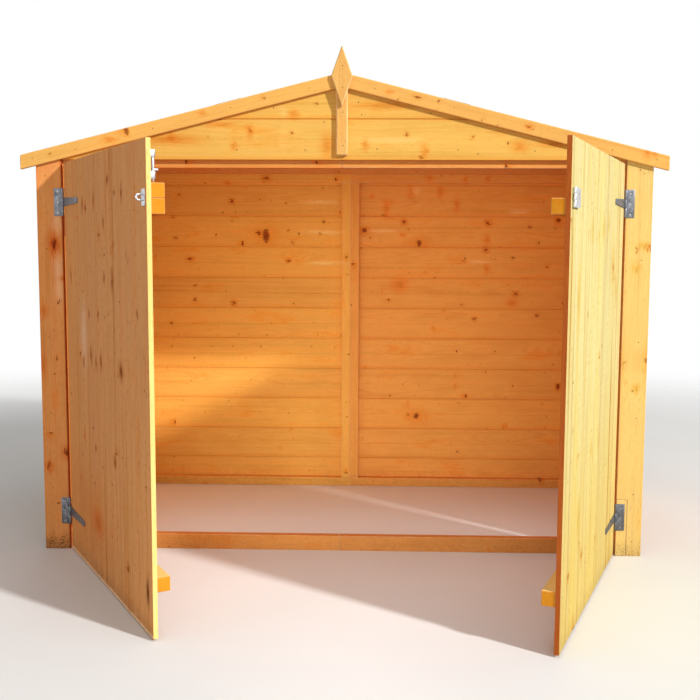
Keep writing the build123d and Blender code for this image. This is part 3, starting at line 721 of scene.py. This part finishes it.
def addNail(target, spot, out, radius=0.0017):
    bm = newPiece()
    bmesh.ops.create_uvsphere(bm, u_segments=nailHead["sides"], v_segments=nailHead["rings"], radius=radius)
    bmesh.ops.scale(bm, vec=(1, 1, nailHead["flat"]), verts=bm.verts[:])
    for face in bm.faces:
        face.material_index = 1
        face.smooth = True
    bm.transform(facing(spot, out))
    addTo(target, bm)


def finishPiece(bm, name, body, slotName, nodes, *materials):
    mesh = bpy.data.meshes.new(name)
    bm.to_mesh(mesh)
    bm.free()
    for material in materials:
        mesh.materials.append(finishes[material])
    made = bpy.data.objects.new(name, mesh)
    bpy.context.scene.collection.objects.link(made)
    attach(made, body)
    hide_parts(*nodes)


def seamLevels(high):
    levels, z = [0], shelter["firstSeam"]
    while z < high:
        levels.append(z)
        z += shelter["cover"]
    return levels + [high]


wallNails = dict(shares=(-0.27, 0.27), stray=0.004, clear=0.006)


def addWall(target, levels, start, end, out, rnd, cuts=(), nails=()):
    # horizontal boards laid up between seam levels, nailed at given distances from the start
    along, stray = (end - start).normalized(), wallNails["stray"]
    for row, (low, high) in enumerate(zip(levels, levels[1:])):
        middle = Vector((0, 0, (low + high) / 2)) + out * rnd.uniform(-0.0002, 0)
        section = boardSection(high - low - shelter["seamGap"], boardThick, row == 0, row == len(levels) - 2)
        addStick(target, section, start + middle, end + middle, out, rnd, cuts=cuts, arris=0.0004, segments=1,
                 spread=0.045, wear=0.3)
        for reach in nails:
            for share in wallNails["shares"]:
                spot = start + middle + along * (reach + rnd.uniform(-stray, stray)) + out * boardThick
                spot.z += share * (high - low) + rnd.uniform(-stray, stray)
                if all((spot - point).dot(away) < -wallNails["clear"] for point, away in cuts):
                    addNail(target, spot, out)


def halves(ending):
    # the right and left piece of a pair: word, side and node
    return [(word, s, word + ending) for word, s in (("right", 1), ("left", -1))]


def stripOutline(low, high):
    # cover strip with its head cut to the roof
    shoulder = high.z - (high.x - low.x) / 2 * slope
    return [(low.x, low.z), (high.x, low.z), (high.x, shoulder), (0, high.z), (low.x, shoulder)]


front = dict(postNails=(0.06, 0.21, 0.45, 0.7, 0.95, 1.19), postNailInset=0.052, postNailStray=0.02,
             blockSeam=0.0008, stripNails=(0.03, 0.13), stripNailAside=0.004, finialNails=(-0.035, 0.03),
             finialNailAside=0.002, gableNailRadius=0.0019)
gableNails = [(-0.412, 1.3076), (-0.323, 1.2654), (-0.113, 1.2657), (-0.62, 1.262), (-0.80, 1.259),
              (-0.055, 1.3501), (0.1075, 1.269), (0.3548, 1.2664), (0.4159, 1.2544), (0.5888, 1.2637),
              (0.78, 1.26), (0.05, 1.41), (-0.21, 1.392), (0.27, 1.377), (-0.36, 1.371), (0.06, 1.372)]


def buildFront():
    rnd = random.Random(11)
    for word, s, name in halves("_front_gable"):
        bm = newPiece()
        ends = [Vector((s * gap / 2, frontFrame, 0)), Vector((s * (opening - gap), frontFrame, 0))]
        if s > 0:
            ends.reverse()  # boards run right to left, which puts their tongues up
        levels = [gableEdge, gableEdge + shelter["cover"], underside(0)]
        addWall(bm, levels, *ends, -yAxis, rnd, cuts=[roofPlane(s)])
        for x, z in gableNails:
            if x * s > 0:
                addNail(bm, Vector((x, frontFace, z)), -yAxis, front["gableNailRadius"])
        finishPiece(bm, word + "GableBoards", "root", "trim", [name], "gablePine", "nailSteel")

    # posts: a plain board each side, the right one let out at its foot for the packing block
    low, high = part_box("right_post_block")
    foot = high.z + gap
    heads = [(half, 0), (half, underside(half)), (opening, underside(opening))]
    feet = {1: ([(innerHalf, 0)], [(opening, foot), (innerHalf, foot)]), -1: ([(opening, 0)], [])}
    for word, s, name in halves("_front_post"):
        bm = newPiece()
        outline = [(s * x, z) for x, z in feet[s][0] + heads + feet[s][1]]
        addPlate(bm, outline, frontFrame, boardThick, -yAxis, rnd, cuts=[roofPlane(s)], spread=0.03)
        for z in front["postNails"]:
            z += rnd.uniform(-front["postNailStray"], front["postNailStray"])
            addNail(bm, Vector((s * (opening + front["postNailInset"]), frontFace, z)), -yAxis)
        finishPiece(bm, word + "PostBoard", "root", "trim", [name], word + "PostPine", "nailSteel")

    bm = newPiece()
    seam = front["blockSeam"]
    middle = (low.x + high.x - seam) / 2
    addBar(bm, high.x - low.x - seam, boardThick, Vector((middle, frontFrame, low.z)),
           Vector((middle, frontFrame, high.z - seam)), -yAxis, rnd, arris=0.0018, spread=0.02, wear=0.6)
    finishPiece(bm, "postFootBlock", "root", "trim", ["right_post_block"], "rightPostPine")

    # cover strip and finial over the middle joint
    bm = newPiece()
    low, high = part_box("front_cover_strip")
    addPlate(bm, stripOutline(low, high), frontFace, high.y - low.y, -yAxis, rnd, arris=0.0036, segments=1,
             spread=0.02)
    for rise in front["stripNails"]:
        addNail(bm, Vector((front["stripNailAside"], low.y, low.z + rise)), -yAxis)
    finishPiece(bm, "gableCoverStrip", "root", "trim", ["front_cover_strip"], "trimPine", "nailSteel")
    bm = newPiece()
    low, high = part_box("finial")
    middle = (low.z + high.z) / 2
    diamond = [(low.x, middle), (0, low.z), (high.x, middle), (0, high.z)]
    addPlate(bm, diamond, high.y, high.y - low.y, -yAxis, rnd, arris=0.0028, segments=1, spread=0.02)
    for rise in front["finialNails"]:
        addNail(bm, Vector((front["finialNailAside"], low.y, middle + rise)), -yAxis)
    finishPiece(bm, "diamondFinial", "root", "trim", ["finial"], "trimPine", "nailSteel")


# the rear bargeboards are thinner by what their nails stand out
barge = dict(width=0.043, overrun=0.03, nails=(0.10, 0.34, 0.58, 0.82, 0.955), nailStray=0.004,
             nailSunk=0.0001, rearNail=0.0003)


def addBargeboard(bm, s, face, out, rnd):
    rear = out.y > 0
    thick = shelter["bargeThick"] - (barge["rearNail"] if rear else 0)
    proud, run, stray = thick - barge["rearNail" if rear else "nailSunk"], barge["overrun"], barge["nailStray"]
    drop = barge["width"] / 2 * stretch
    top = underside(0) + (boardThick + shelter["feltThick"]) * stretch - drop
    inner, outer = (Vector((s * x, face, top - x * slope)) for x in (-run, roofEnd + run))
    cuts = [planeAt(s * gap / 2, -s), planeAt(s * roofEnd, s)]
    addBar(bm, barge["width"], thick, inner, outer, out, rnd, cuts=cuts, arris=0.0028, spread=0.03, wear=0.35)
    for reach in barge["nails"]:
        spot = Vector((s * reach, face, top - reach * slope + rnd.uniform(-stray, stray)))
        addNail(bm, spot + out * proud, out)


rearStrip = dict(nails=7, firstNail=0.06, nailPitch=0.21, nailStray=0.004)


def buildBarges():
    rnd = random.Random(23)
    for word, s, name in halves("_front_bargeboard"):
        bm = newPiece()
        addBargeboard(bm, s, frontFace, -yAxis, rnd)
        finishPiece(bm, word + "Bargeboard", "root", "trim", [name], "bargePine", "nailSteel")
    bm = newPiece()
    for s in (1, -1):
        addBargeboard(bm, s, backFace, yAxis, rnd)
    finishPiece(bm, "rearBargeboards", "root", "trim", ["back_bargeboards"], "trimPine", "nailSteel")
    bm = newPiece()
    low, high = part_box("back_cover_strip")
    thick, stray = high.y - low.y - barge["rearNail"], rearStrip["nailStray"]
    addPlate(bm, stripOutline(low, high), backFace, thick, yAxis, rnd, arris=0.0018, spread=0.02)
    for step in range(rearStrip["nails"]):
        z = rearStrip["firstNail"] + step * rearStrip["nailPitch"]
        addNail(bm, Vector((rnd.uniform(-stray, stray), high.y - 2 * barge["rearNail"], z)), yAxis)
    finishPiece(bm, "rearCoverStrip", "root", "trim", ["back_cover_strip"], "sidePine", "nailSteel")


sticks = dict(thresholdSeam=-0.004, rafterPast=0.05, rafterReach=1.0, ridgeDepth=1.6, ridgeDrop=0.03)


def buildFrame():
    # battens: threshold, header, stiles, wall frames, rafters and ridge
    rnd = random.Random(37)

    def bar(wide, deep, start, end, out, **more):
        addBar(bm, wide, deep, Vector(start), Vector(end), out, rnd, **more)

    bm = newPiece()
    low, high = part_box("threshold")
    wide, deep, seam = high.z - low.z, high.y - low.y, sticks["thresholdSeam"]
    for x0, x1 in ((seam, high.x), (low.x, seam - gap)):
        bar(wide, deep, (x1, high.y, wide / 2), (x0, high.y, wide / 2), -yAxis, arris=0.0016)
    finishPiece(bm, "thresholdRail", "root", "framing", ["threshold"], "battenPine")
    for word, s, name in halves("_header_rail"):
        bm = newPiece()
        addFromNode(bm, name, -yAxis, xAxis, rnd, arris=0.0024)
        finishPiece(bm, word + "HeaderRail", "root", "framing", [name], "battenPine")
    bm = newPiece()
    for s in (1, -1):
        x = s * (opening + batten / 2)
        bar(batten, batten, (x, frontFrame + batten, 0), (x, frontFrame + batten, underside(0)), -yAxis,
            cuts=[roofPlane(s)])
    finishPiece(bm, "frontStiles", "root", "framing", ["front_stiles"], "battenPine")

    for word, s, name in halves("_side_frame"):
        bm = newPiece()
        inside, deep = s * (innerHalf + gap), half - boardThick - innerHalf - gap
        railTop = underside(half - boardThick) - batten
        wide = underside(innerHalf) - railTop
        for tall, z, cuts in ((batten, batten / 2, ()), (wide, railTop + wide / 2, [roofPlane(s)])):
            bar(tall, deep, (inside, frontFrame, z), (inside, backBoards, z), s * xAxis, cuts=cuts)
        for y in (frontFrame + batten / 2, backBoards - batten / 2):
            bar(batten, deep, (inside, y, batten + gap), (inside, y, railTop - gap), s * xAxis)
        finishPiece(bm, word + "SideFrame", "root", "framing", [name], "battenPine")

    for word, s, name in halves("_back_frame"):
        bm = newPiece()
        x0, x1, foot, head = s * gap / 2, s * innerHalf, batten + gap, backPanel - batten - gap
        for z in (batten / 2, backPanel - batten / 2):
            bar(batten, batten, (x0, backBoards, z), (x1, backBoards, z), -yAxis)
        for x in (x0 + s * batten / 2, x1 - s * batten / 2):
            bar(batten, batten, (x, backBoards, foot), (x, backBoards, head), -yAxis)
        finishPiece(bm, word + "BackFrame", "root", "framing", [name], word + "WallPine")

    bm = newPiece()
    middle = backPanel + gap + batten / 2
    for s in (1, -1):
        x0, x1 = s * gap / 2, s * (innerHalf - gap)
        bar(batten, batten, (x0, backBoards, middle), (x1, backBoards, middle), -yAxis, cuts=[roofPlane(s)])
    finishPiece(bm, "rearGableRails", "root", "framing", ["back_gable_rails"], "battenPine")

    # each rafter is cut plumb at the ridge and level where it lands on its rail
    bm = newPiece()
    top, ends = underside(0) - batten / 2 * stretch, (-sticks["rafterPast"], sticks["rafterReach"])
    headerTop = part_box("right_header_rail")[1].z + gap
    railTop = backPanel + gap + batten + gap
    for rear, seat, toe in ((frontFrame + batten, headerTop, opening - gap), (backBoards, railTop, half)):
        for s in (1, -1):
            cuts = [planeAt(s * gap / 2, -s), planeAt(s * toe, s), (zAxis * seat, -zAxis), roofPlane(s)]
            bar(batten, batten, *((s * x, rear, top - x * slope) for x in ends), -yAxis, cuts=cuts)
    finishPiece(bm, "roofRafters", "root", "framing", ["rafters"], "battenPine")

    bm = newPiece()
    low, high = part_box("ridge_battens")
    for s in (1, -1):
        x = s * (gap + batten) / 2
        z = underside(x) - batten * stretch / 2 - sticks["ridgeDrop"]
        cuts = [roofPlane(s), (Vector((0, 0, underside(0) - batten * stretch)), -roofPlane(s)[1])]
        bar(batten, batten * sticks["ridgeDepth"], (x, low.y, z), (x, high.y, z), zAxis, cuts=cuts)
    finishPiece(bm, "ridgeBattens", "root", "framing", ["ridge_battens"], "battenPine")


def copyNode(name):
    # the frame's own solid as plain faces
    bm = newPiece()
    bm.from_mesh(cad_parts[name].data)
    bmesh.ops.remove_doubles(bm, verts=bm.verts[:], dist=1e-6)
    bmesh.ops.dissolve_limit(bm, angle_limit=math.radians(1), verts=bm.verts[:], edges=bm.edges[:])
    return bm


def addFromNode(target, name, out, along, rnd, arris=0.0012):
    # for a stick that has a drilled hole
    place = placeAt(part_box(name)[0], along, out)
    bm = copyNode(name)
    bm.transform(place.inverted())
    shapeWood(bm, target, place, rnd, (), arris, 2, 0.04)


# reach of the nails along each wall, from its start
wallReaches = dict(side=(batten / 2, backBoards - frontFrame - batten / 2), gable=(0.05, 0.3, 0.6, 0.85),
                   right=(batten / 2, half / 2, half - 0.06), left=(0.06, half / 2, half - batten / 2))


def buildWalls():
    rnd = random.Random(53)
    for word, s, name in halves("_side_boards"):
        bm = newPiece()
        x = s * (half - boardThick)
        ends = [Vector((x, frontFrame, 0)), Vector((x, backBoards, 0))][::-s]
        addWall(bm, seamLevels(underside(x)), *ends, s * xAxis, rnd, cuts=[roofPlane(s)],
                nails=wallReaches["side"])
        finishPiece(bm, word + "SideBoards", "root", "cladding", [name], "sidePine", "nailSteel")
    gableLevels = [backPanel + gap, backPanel + shelter["cover"], underside(0)]
    panels = (("_back_boards", "BackBoards", seamLevels(backPanel)), ("_back_gable", "BackGable", gableLevels))
    for ending, label, levels in panels:
        for word, s, name in halves(ending):
            bm = newPiece()
            gable = levels is gableLevels
            ends = [Vector((s * gap / 2, backBoards, 0)), Vector((s * half, backBoards, 0))][::s]
            reaches = wallReaches["gable" if gable else word]
            addWall(bm, levels, *ends, yAxis, rnd, cuts=[roofPlane(s)], nails=reaches)
            wood = "sidePine" if gable else word + "WallPine"
            finishPiece(bm, word + label, "root", "cladding", [name], wood, "nailSteel")


roofing = dict(boards=8, boardInset=0.002, spare=0.006, lapAt=0.36, lapUnder=0.05, lapOver=0.03,
               lapRise=0.0023, bend=35, liftFrom=0.055, feltLift=0.0001, slopeSteps=14, capSteps=20,
               turnSteps=4, lengthCuts=22,
               sag=0.0005, ripple=(5, 7, 3.0), calmEdge=0.02, clouts=12, cloutRadius=0.0042, cloutInset=0.03,
               cloutFromLap=0.012, cloutRise=0.0042)


def buildRoof():
    rnd = random.Random(71)
    runY = (frontFace, backFace)
    reach, last = roofEnd - roofing["boardInset"], roofing["boards"] - 1
    cover = reach * stretch / roofing["boards"]
    for word, s, name in halves("_roof_boards"):
        bm = newPiece()
        down = Vector((s * math.cos(pitch), 0, -math.sin(pitch)))
        cuts = [planeAt(s * gap / 2, -s), planeAt(s * reach, s)]
        for row in range(roofing["boards"]):
            # the outer boards run past their cut
            spare = {0: -roofing["spare"], last: roofing["spare"]}.get(row, 0)
            wide = cover - shelter["seamGap"] + 2 * abs(spare)
            middle = Vector((0, 0, underside(0))) + down * ((row + 0.5) * cover + spare)
            a, b = (Vector((middle.x, y, middle.z)) for y in (reversed(runY) if s > 0 else runY))
            section = boardSection(wide, boardThick, row == 0, row == last)
            flipped = [(across, boardThick - thick) for across, thick in section]
            addStick(bm, flipped, a, b, roofPlane(s)[1], rnd, cuts=cuts, arris=0.0004, segments=1)
        finishPiece(bm, word + "RoofBoards", "root", "cladding", [name], "roofPine")

    # felt: one strip up each slope turned down over the eaves, and a cap strip over the ridge
    bm = newPiece()
    low, lap, thick = boardThick * stretch, roofing["lapAt"], shelter["feltThick"]
    steps, turns, caps = (roofing[key] for key in ("slopeSteps", "turnSteps", "capSteps"))
    edge = roofEnd - thick

    def onBoards(x):
        return Vector((x, runY[0], underside(x) + low + roofing["feltLift"]))

    for s in (1, -1):
        line = [onBoards(s * (lap - roofing["lapUnder"]))]
        line += [onBoards(s * (lap + (edge - lap) * i / steps)) for i in range(steps + 1)]
        line += [Vector((s * edge, runY[0], underside(edge) + low * (1 - turn / turns)))
                 for turn in range(1, turns + 1)]
        addFeltSheet(bm, line, runY, thick, s)
    line = [onBoards(x / caps * (lap + roofing["lapOver"])) for x in range(-caps, caps + 1)]
    addFeltSheet(bm, line, runY, thick, 1, cap=lap - roofing["liftFrom"])
    x, inset, last = lap + roofing["cloutFromLap"], roofing["cloutInset"], roofing["clouts"] - 1
    for s in (1, -1):
        for step in range(roofing["clouts"]):
            y = runY[0] + inset + step * (runY[1] - runY[0] - 2 * inset) / last
            spot = Vector((s * x, y, underside(x) + low + roofing["cloutRise"]))
            addNail(bm, spot, roofPlane(s)[1], roofing["cloutRadius"])
    finishPiece(bm, "roofFeltSheets", "root", "felt", ["roof_felt"], "roofFelt", "galvanised")


def addFeltSheet(target, line, runY, thick, s, cap=None):
    bm = newPiece()
    verts = [bm.verts.new(point) for point in line]
    edges = [bm.edges.new(pair) for pair in zip(verts, verts[1:])]
    run = bmesh.ops.extrude_edge_only(bm, edges=edges)
    moved = [v for v in run["geom"] if isinstance(v, bmesh.types.BMVert)]
    bmesh.ops.translate(bm, vec=(0, runY[1] - runY[0], 0), verts=moved)
    long = [e for e in bm.edges if abs(e.verts[0].co.y - e.verts[1].co.y) > 0.5]
    bmesh.ops.subdivide_edges(bm, edges=long, cuts=roofing["lengthCuts"], use_grid_fill=True)
    across, down, apart = roofing["ripple"]
    for v in bm.verts:
        ripple = noise.noise(Vector((v.co.x * across, v.co.y * down, apart * s))) * 0.5 + 0.5
        if abs(v.co.x) < roofEnd - roofing["calmEdge"]:
            v.co.z += ripple * roofing["sag"]
        if cap is not None and abs(v.co.x) > cap:
            v.co.z += roofing["lapRise"]
    bmesh.ops.recalc_face_normals(bm, faces=bm.faces[:])
    if sum(f.normal.z for f in bm.faces) < 0:
        bmesh.ops.reverse_faces(bm, faces=bm.faces[:])
    bmesh.ops.solidify(bm, geom=bm.faces[:], thickness=-thick)
    bmesh.ops.recalc_face_normals(bm, faces=bm.faces[:])
    smoothRound(bm, roofing["bend"])
    addTo(target, bm)


def smoothRound(bm, degrees):
    for face in bm.faces:
        face.smooth = True
    for edge in bm.edges:
        edge.smooth = edge.calc_face_angle(0) < math.radians(degrees)


def buildDoor(word, s):
    rnd = random.Random(91 if s > 0 else 97)
    body, swing, d = word + "_door", doorSwing(s), doorLeaf
    turned = swing.to_3x3()
    wide = (d["edge"] - d["meeting"]) / d["boards"]
    bm = newPiece()
    ledges = [level + d["ledgeHeight"] / 2 for level in (d["lowerLedge"], d["upperLedge"])]
    for row in range(d["boards"]):
        x = s * (d["meeting"] + wide * (row + 0.5))
        plainFoot, plainHead = (row == 0, row == d["boards"] - 1)[::s]
        section = boardSection(wide - shelter["seamGap"], boardThick, plainFoot, plainHead, tongue["doorVee"])
        start, end = (Vector((x, frontFrame, z)) for z in (d["foot"], d["top"]))
        addStick(bm, section, start, end, -yAxis, rnd, arris=0.0003, segments=1, spread=0.045, swing=swing,
                 wear=0.0)
        for level in ledges:
            for share in (-d["nailSpread"], d["nailSpread"]):
                across, rise = (rnd.uniform(-stray, stray) for stray in d["nailStray"])
                spot = Vector((x + share * wide + across, frontFace, level + rise))
                addNail(bm, swing @ spot, turned @ -yAxis, d["nailRadius"])
    # the meeting edge of the left leaf is painted light, pale as if lit, and that of the right one painted
    # shade, dark as if shadowed
    edgeOut = turned @ Vector((-s, 0, 0))
    meeting = swing @ Vector((s * d["meeting"], frontFrame, 0))
    bm.normal_update()
    for face in bm.faces:
        depth = (meeting - face.calc_center_median()).dot(edgeOut)
        if face.material_index:
            continue
        if face.normal.dot(edgeOut) > 0.5 and depth < d["edgeDepth"]:
            face.material_index = 2
        elif face.normal.dot(turned @ yAxis) > 0.5:
            face.material_index = 3
    woods = (word + "DoorPine", "nailSteel", "paintedShadeEdgePine" if s > 0 else "paintedLightEdgePine", "doorBackPine")
    finishPiece(bm, word + "DoorBoards", body, "door_timber", [word + "_door_boards"], *woods)

    bm = newPiece()
    x0, x1 = s * (d["meeting"] + d["ledgeStart"]), s * (d["edge"] - d["ledgeInset"])
    wornAndLit = dict(arris=0.0022, segments=3, swing=swing, wear=0.3)
    for level in ledges:
        start, end = (Vector((x, frontFrame, level)) for x in (x0, x1))
        addBar(bm, d["ledgeHeight"], batten, start, end, yAxis, rnd, **wornAndLit)
    # the ledges' top faces take the pale edge pine: painted light, as if lit from above
    for face in bm.faces:
        if face.normal.z > 0.9:
            face.material_index = 1
    finishPiece(bm, word + "DoorLedges", body, "door_timber", [word + "_door_ledges"], "ledgePine",
                "paintedLightEdgePine")

    bm = newPiece()
    foot, head = d["lowerLedge"] + d["ledgeHeight"] + gap, d["upperLedge"] - gap
    a, b = d["meeting"] + d["braceInset"], d["edge"] - d["ledgeInset"] - batten
    run = d["braceWidth"] * math.hypot(b - a, head - foot) / (head - foot)
    low, high = Vector((s * (b - run / 2), frontFrame, foot)), Vector((s * (a + run / 2), frontFrame, head))
    past = (high - low).normalized() * d["bracePast"]
    cuts = [(Vector((0, 0, foot)), -zAxis), (Vector((0, 0, head)), zAxis)]
    addBar(bm, d["braceWidth"], batten, low - past, high + past, yAxis, rnd, cuts=cuts, arris=0.0014,
           swing=swing)
    finishPiece(bm, word + "DoorBrace", body, "door_timber", [word + "_door_brace"], "ledgePine")
    if s < 0:
        bm = newPiece()
        z = d["upperLedge"] + d["ledgeHeight"] + gap + d["blockHeight"] / 2
        start, end = (Vector((-x, frontFrame, z)) for x in d["blockEnds"])
        addBar(bm, d["blockHeight"], batten, start, end, yAxis, rnd, **wornAndLit)
        finishPiece(bm, "leftDoorBlock", body, "door_timber", ["left_door_block"], "ledgePine")


metalEdge = dict(ease=0.0003, sharp=40, bend=32)


def addMetal(target, name):
    # the frame's own solid with its edges eased, as pressed sheet has
    bm = copyNode(name)
    edges = sharpEdges(bm, metalEdge["sharp"])
    bmesh.ops.bevel(bm, geom=edges, offset=metalEdge["ease"], offset_type="OFFSET", segments=2, profile=0.5,
                    affect="EDGES", clamp_overlap=True, material=-1)
    smoothRound(bm, metalEdge["bend"])
    addTo(target, bm)


# shares of the radius: rim, arms, edge and depth of the cross, and the head's foot and height
screwHead = dict(sides=16, rim=0.35, arms=0.42, edge=0.04, deep=0.35, foot=0.6, tall=0.5)


def addScrew(target, spot, out, radius=0.0038):
    # countersunk head with a crossed recess
    h = screwHead
    bm = newPiece()
    bmesh.ops.create_circle(bm, cap_ends=True, segments=h["sides"], radius=radius)
    bmesh.ops.inset_region(bm, faces=bm.faces[:], thickness=radius * h["rim"])
    centre = [f for f in bm.faces if len(f.verts) == h["sides"]]
    for corner, v in enumerate(centre[0].verts[:]):
        v.co.xy *= 1.0 if corner % 4 == 0 else h["arms"]
    bmesh.ops.inset_region(bm, faces=centre, thickness=radius * h["edge"], depth=-radius * h["deep"])
    skirt = bmesh.ops.extrude_edge_only(bm, edges=[e for e in bm.edges if len(e.link_faces) == 1])
    lowered = [v for v in skirt["geom"] if isinstance(v, bmesh.types.BMVert)]
    bmesh.ops.scale(bm, vec=(h["foot"], h["foot"], 1), verts=lowered)
    bmesh.ops.translate(bm, vec=(0, 0, -radius * h["tall"]), verts=lowered)
    bmesh.ops.contextual_create(bm, geom=[e for e in bm.edges if len(e.link_faces) == 1])
    bmesh.ops.recalc_face_normals(bm, faces=bm.faces[:])
    for face in bm.faces:
        face.material_index = 1
    bm.transform(facing(spot, out))
    addTo(target, bm)


furniture = dict(levels=(0.126, 1.105), plateScrewX=0.8835, plateScrewPitch=0.0315, plateThick=0.002,
                 strapScrews=(0.8245, 0.7615, 0.6985), strapFace=0.0028, sunk=0.0001)
# screws of the small plates: door, place across and up, reach to the sides and up, height off the boards
smallScrews = dict(
    hasp_leaf=(1, 0.046, 1.087, (0.0,), (-0.014, 0.014), 0.002, -yAxis, 0.0030),
    staple=(-1, 0.0280, 1.087, (-0.0105, 0.0105), (-0.0150, 0.0150), 0.0015, -yAxis, 0.0024),
    bolt_barrel=(-1, 0.023, 1.1645, (-0.0085, 0.0085), (-0.0285, 0.0285), 0.0015, yAxis, 0.0022))
smallPieces = (("hasp_leaf", "haspLeaf", "right_door"), ("hasp_flap", "haspFlap", "hasp_flap"),
               ("staple", "haspStaple", "left_door"), ("bolt_barrel", "boltBarrel", "left_door"),
               ("bolt_rod", "boltRod", "bolt_rod"))


def buildFurniture():
    f = furniture
    bm = newPiece()
    addMetal(bm, "hinge_plates")
    plateFace = frontFace - f["plateThick"] + f["sunk"]
    for s in (1, -1):
        for z in f["levels"]:
            for step in (-1, 0, 1):
                spot = Vector((s * f["plateScrewX"], plateFace, z + step * f["plateScrewPitch"]))
                addScrew(bm, spot, -yAxis)
    finishPiece(bm, "hingePlates", "root", "galvanised", ["hinge_plates"], "galvanised", "screwSteel")
    for word, s, name in halves("_hinge_straps"):
        bm = newPiece()
        addMetal(bm, name)
        swing = doorSwing(s)
        for z in f["levels"]:
            for x in f["strapScrews"]:
                spot = swing @ Vector((s * x, frontFace - f["strapFace"] + f["sunk"], z))
                addScrew(bm, spot, swing.to_3x3() @ -yAxis)
        finishPiece(bm, word + "HingeStraps", word + "_door", "galvanised", [name], "galvanised", "screwSteel")
    for name, label, body in smallPieces:
        bm = newPiece()
        addMetal(bm, name)
        if name in smallScrews:
            s, x, z, sideways, upward, lift, out, radius = smallScrews[name]
            face = frontFace if out.y < 0 else frontFrame
            swing = doorSwing(s)
            for dx in sideways:
                for dz in upward:
                    spot = Vector((s * (x + dx), face, z + dz)) + out * (lift + f["sunk"])
                    addScrew(bm, swing @ spot, swing.to_3x3() @ out, radius)
        finishPiece(bm, label, body, "bright_zinc", [name], "brightZinc", "galvanised")


buildFront()
buildBarges()
print("front built")
buildFrame()
buildWalls()
print("walls built")
buildRoof()
print("roof built")
buildDoor("right", 1)
buildDoor("left", -1)
buildFurniture()
print("doors and furniture built")

# the floor throws back less light than its colour shows, so that shadows keep their depth
studio = dict(floorSize=14.0, floorColour=(229, 228, 225), floorBounce=(176, 170, 162), floorMottle=4,
              floorRough=0.85, floorFade=(2.4, 5.5), worldLight=0.2, lookAt=(0, 0.1, 0.6))
# place, size, power and, where it isn't the middle of the shelter, aim
lamps = dict(
    key=dict(at=(9.6, -7.6, 7.1), size=0.9, power=2000.0),
    fill=dict(at=(-0.6, -8.5, 1.0), size=4.0, power=122.0),
    left=dict(at=(-4.6, -3.4, 1.2), size=2.5, power=29.0), top=dict(at=(0.0, -0.8, 5.0), size=3.5, power=70.0),
    inner=dict(at=(0.0, -2.1, 0.30), size=0.6, power=0.9, spread=40.0, aim=(0.0, 0.0, 0.15)),
    opening=dict(at=(0.0, 0.07, 0.62), size=1.6, tall=1.05, power=3.0, aim=(0.0, 1.0, 0.62)),
    rear=dict(at=(-1.5, 8.0, 2.5), size=4.0, power=110.0))
lens = dict(focal=51.83, sensor=36.0, place=(0.1248, -3.1648, 0.9746), yaw=-1.7788, pitchDown=5.9160,
            roll=-0.2538)


def addToScene(name, data):
    made = bpy.data.objects.new(name, data)
    bpy.context.scene.collection.objects.link(made)
    return made


def buildFloor():
    bm = bmesh.new()
    bmesh.ops.create_grid(bm, x_segments=1, y_segments=1, size=studio["floorSize"] / 2)
    mesh = bpy.data.meshes.new("studioFloor")
    bm.to_mesh(mesh)
    bm.free()
    made, tree, shader = newMaterial("paleFloor", specular=0.1)
    place, shown = objectPlace(tree), studio["floorColour"]
    tone = ramp(cloudy(place, 2, 3), -0.3, 0.3)
    colour = tint(tone, linear(*shown), linear(*(c + studio["floorMottle"] for c in shown)))
    seen = node(tree, "LightPath", None, "Is Camera Ray")
    feed(shader["Base Color"], tint(seen, linear(*studio["floorBounce"]), colour))
    shader["Roughness"].default_value = studio["floorRough"]
    # it fades into the white surround away from the shelter
    feed(shader["Alpha"], ramp(length(place), *studio["floorFade"], 1.0, 0.0))
    dropLoose(tree)
    mesh.materials.append(made)
    floor = addToScene("studioFloor", mesh)


def buildWorld():
    world = bpy.data.worlds.new("whiteSurround")
    bpy.context.scene.world = world
    world.use_nodes = True
    back = world.node_tree.nodes["Background"].inputs
    back["Color"].default_value = (1, 1, 1, 1)
    rays = node(world.node_tree, "LightPath", None, "Is Camera Ray")
    seen = larger(rays, larger(rays.other("Is Glossy Ray"), rays.other("Is Transmission Ray")))
    feed(back["Strength"], ramp(seen, 0, 1, studio["worldLight"], 1.0, smooth=False))


def buildLamps():
    for name, row in lamps.items():
        lamp = bpy.data.lights.new(name + "Light", "AREA")
        lamp.shape = "RECTANGLE" if "tall" in row else "DISK"
        lamp.size, lamp.size_y, lamp.energy = row["size"], row.get("tall", row["size"]), row["power"]
        lamp.spread = math.radians(row.get("spread", 180.0))
        holder = addToScene(name + "Light", lamp)
        holder.location = row["at"]
        holder.visible_camera = False
        aim = Vector(row.get("aim", studio["lookAt"])) - Vector(row["at"])
        holder.rotation_euler = aim.to_track_quat("-Z", "Y").to_euler()


def buildCamera():
    yaw, down, roll = (math.radians(lens[key]) for key in ("yaw", "pitchDown", "roll"))
    ahead = Vector((math.sin(yaw) * math.cos(down), math.cos(yaw) * math.cos(down), -math.sin(down)))
    level = Vector((math.cos(yaw), -math.sin(yaw), 0))
    below = ahead.cross(level)
    rightward = math.cos(roll) * level + math.sin(roll) * below
    downward = -math.sin(roll) * level + math.cos(roll) * below
    camera = addToScene("viewpoint", bpy.data.cameras.new("viewpoint"))
    camera.data.sensor_width, camera.data.lens = lens["sensor"], lens["focal"]
    turn = Matrix((rightward, -downward, -ahead)).transposed().to_4x4()
    camera.matrix_world = Matrix.Translation(lens["place"]) @ turn
    bpy.context.scene.camera = camera
    bpy.context.scene.view_settings.view_transform = "Standard"


buildFloor()
buildWorld()
buildLamps()
buildCamera()
print("studio set")
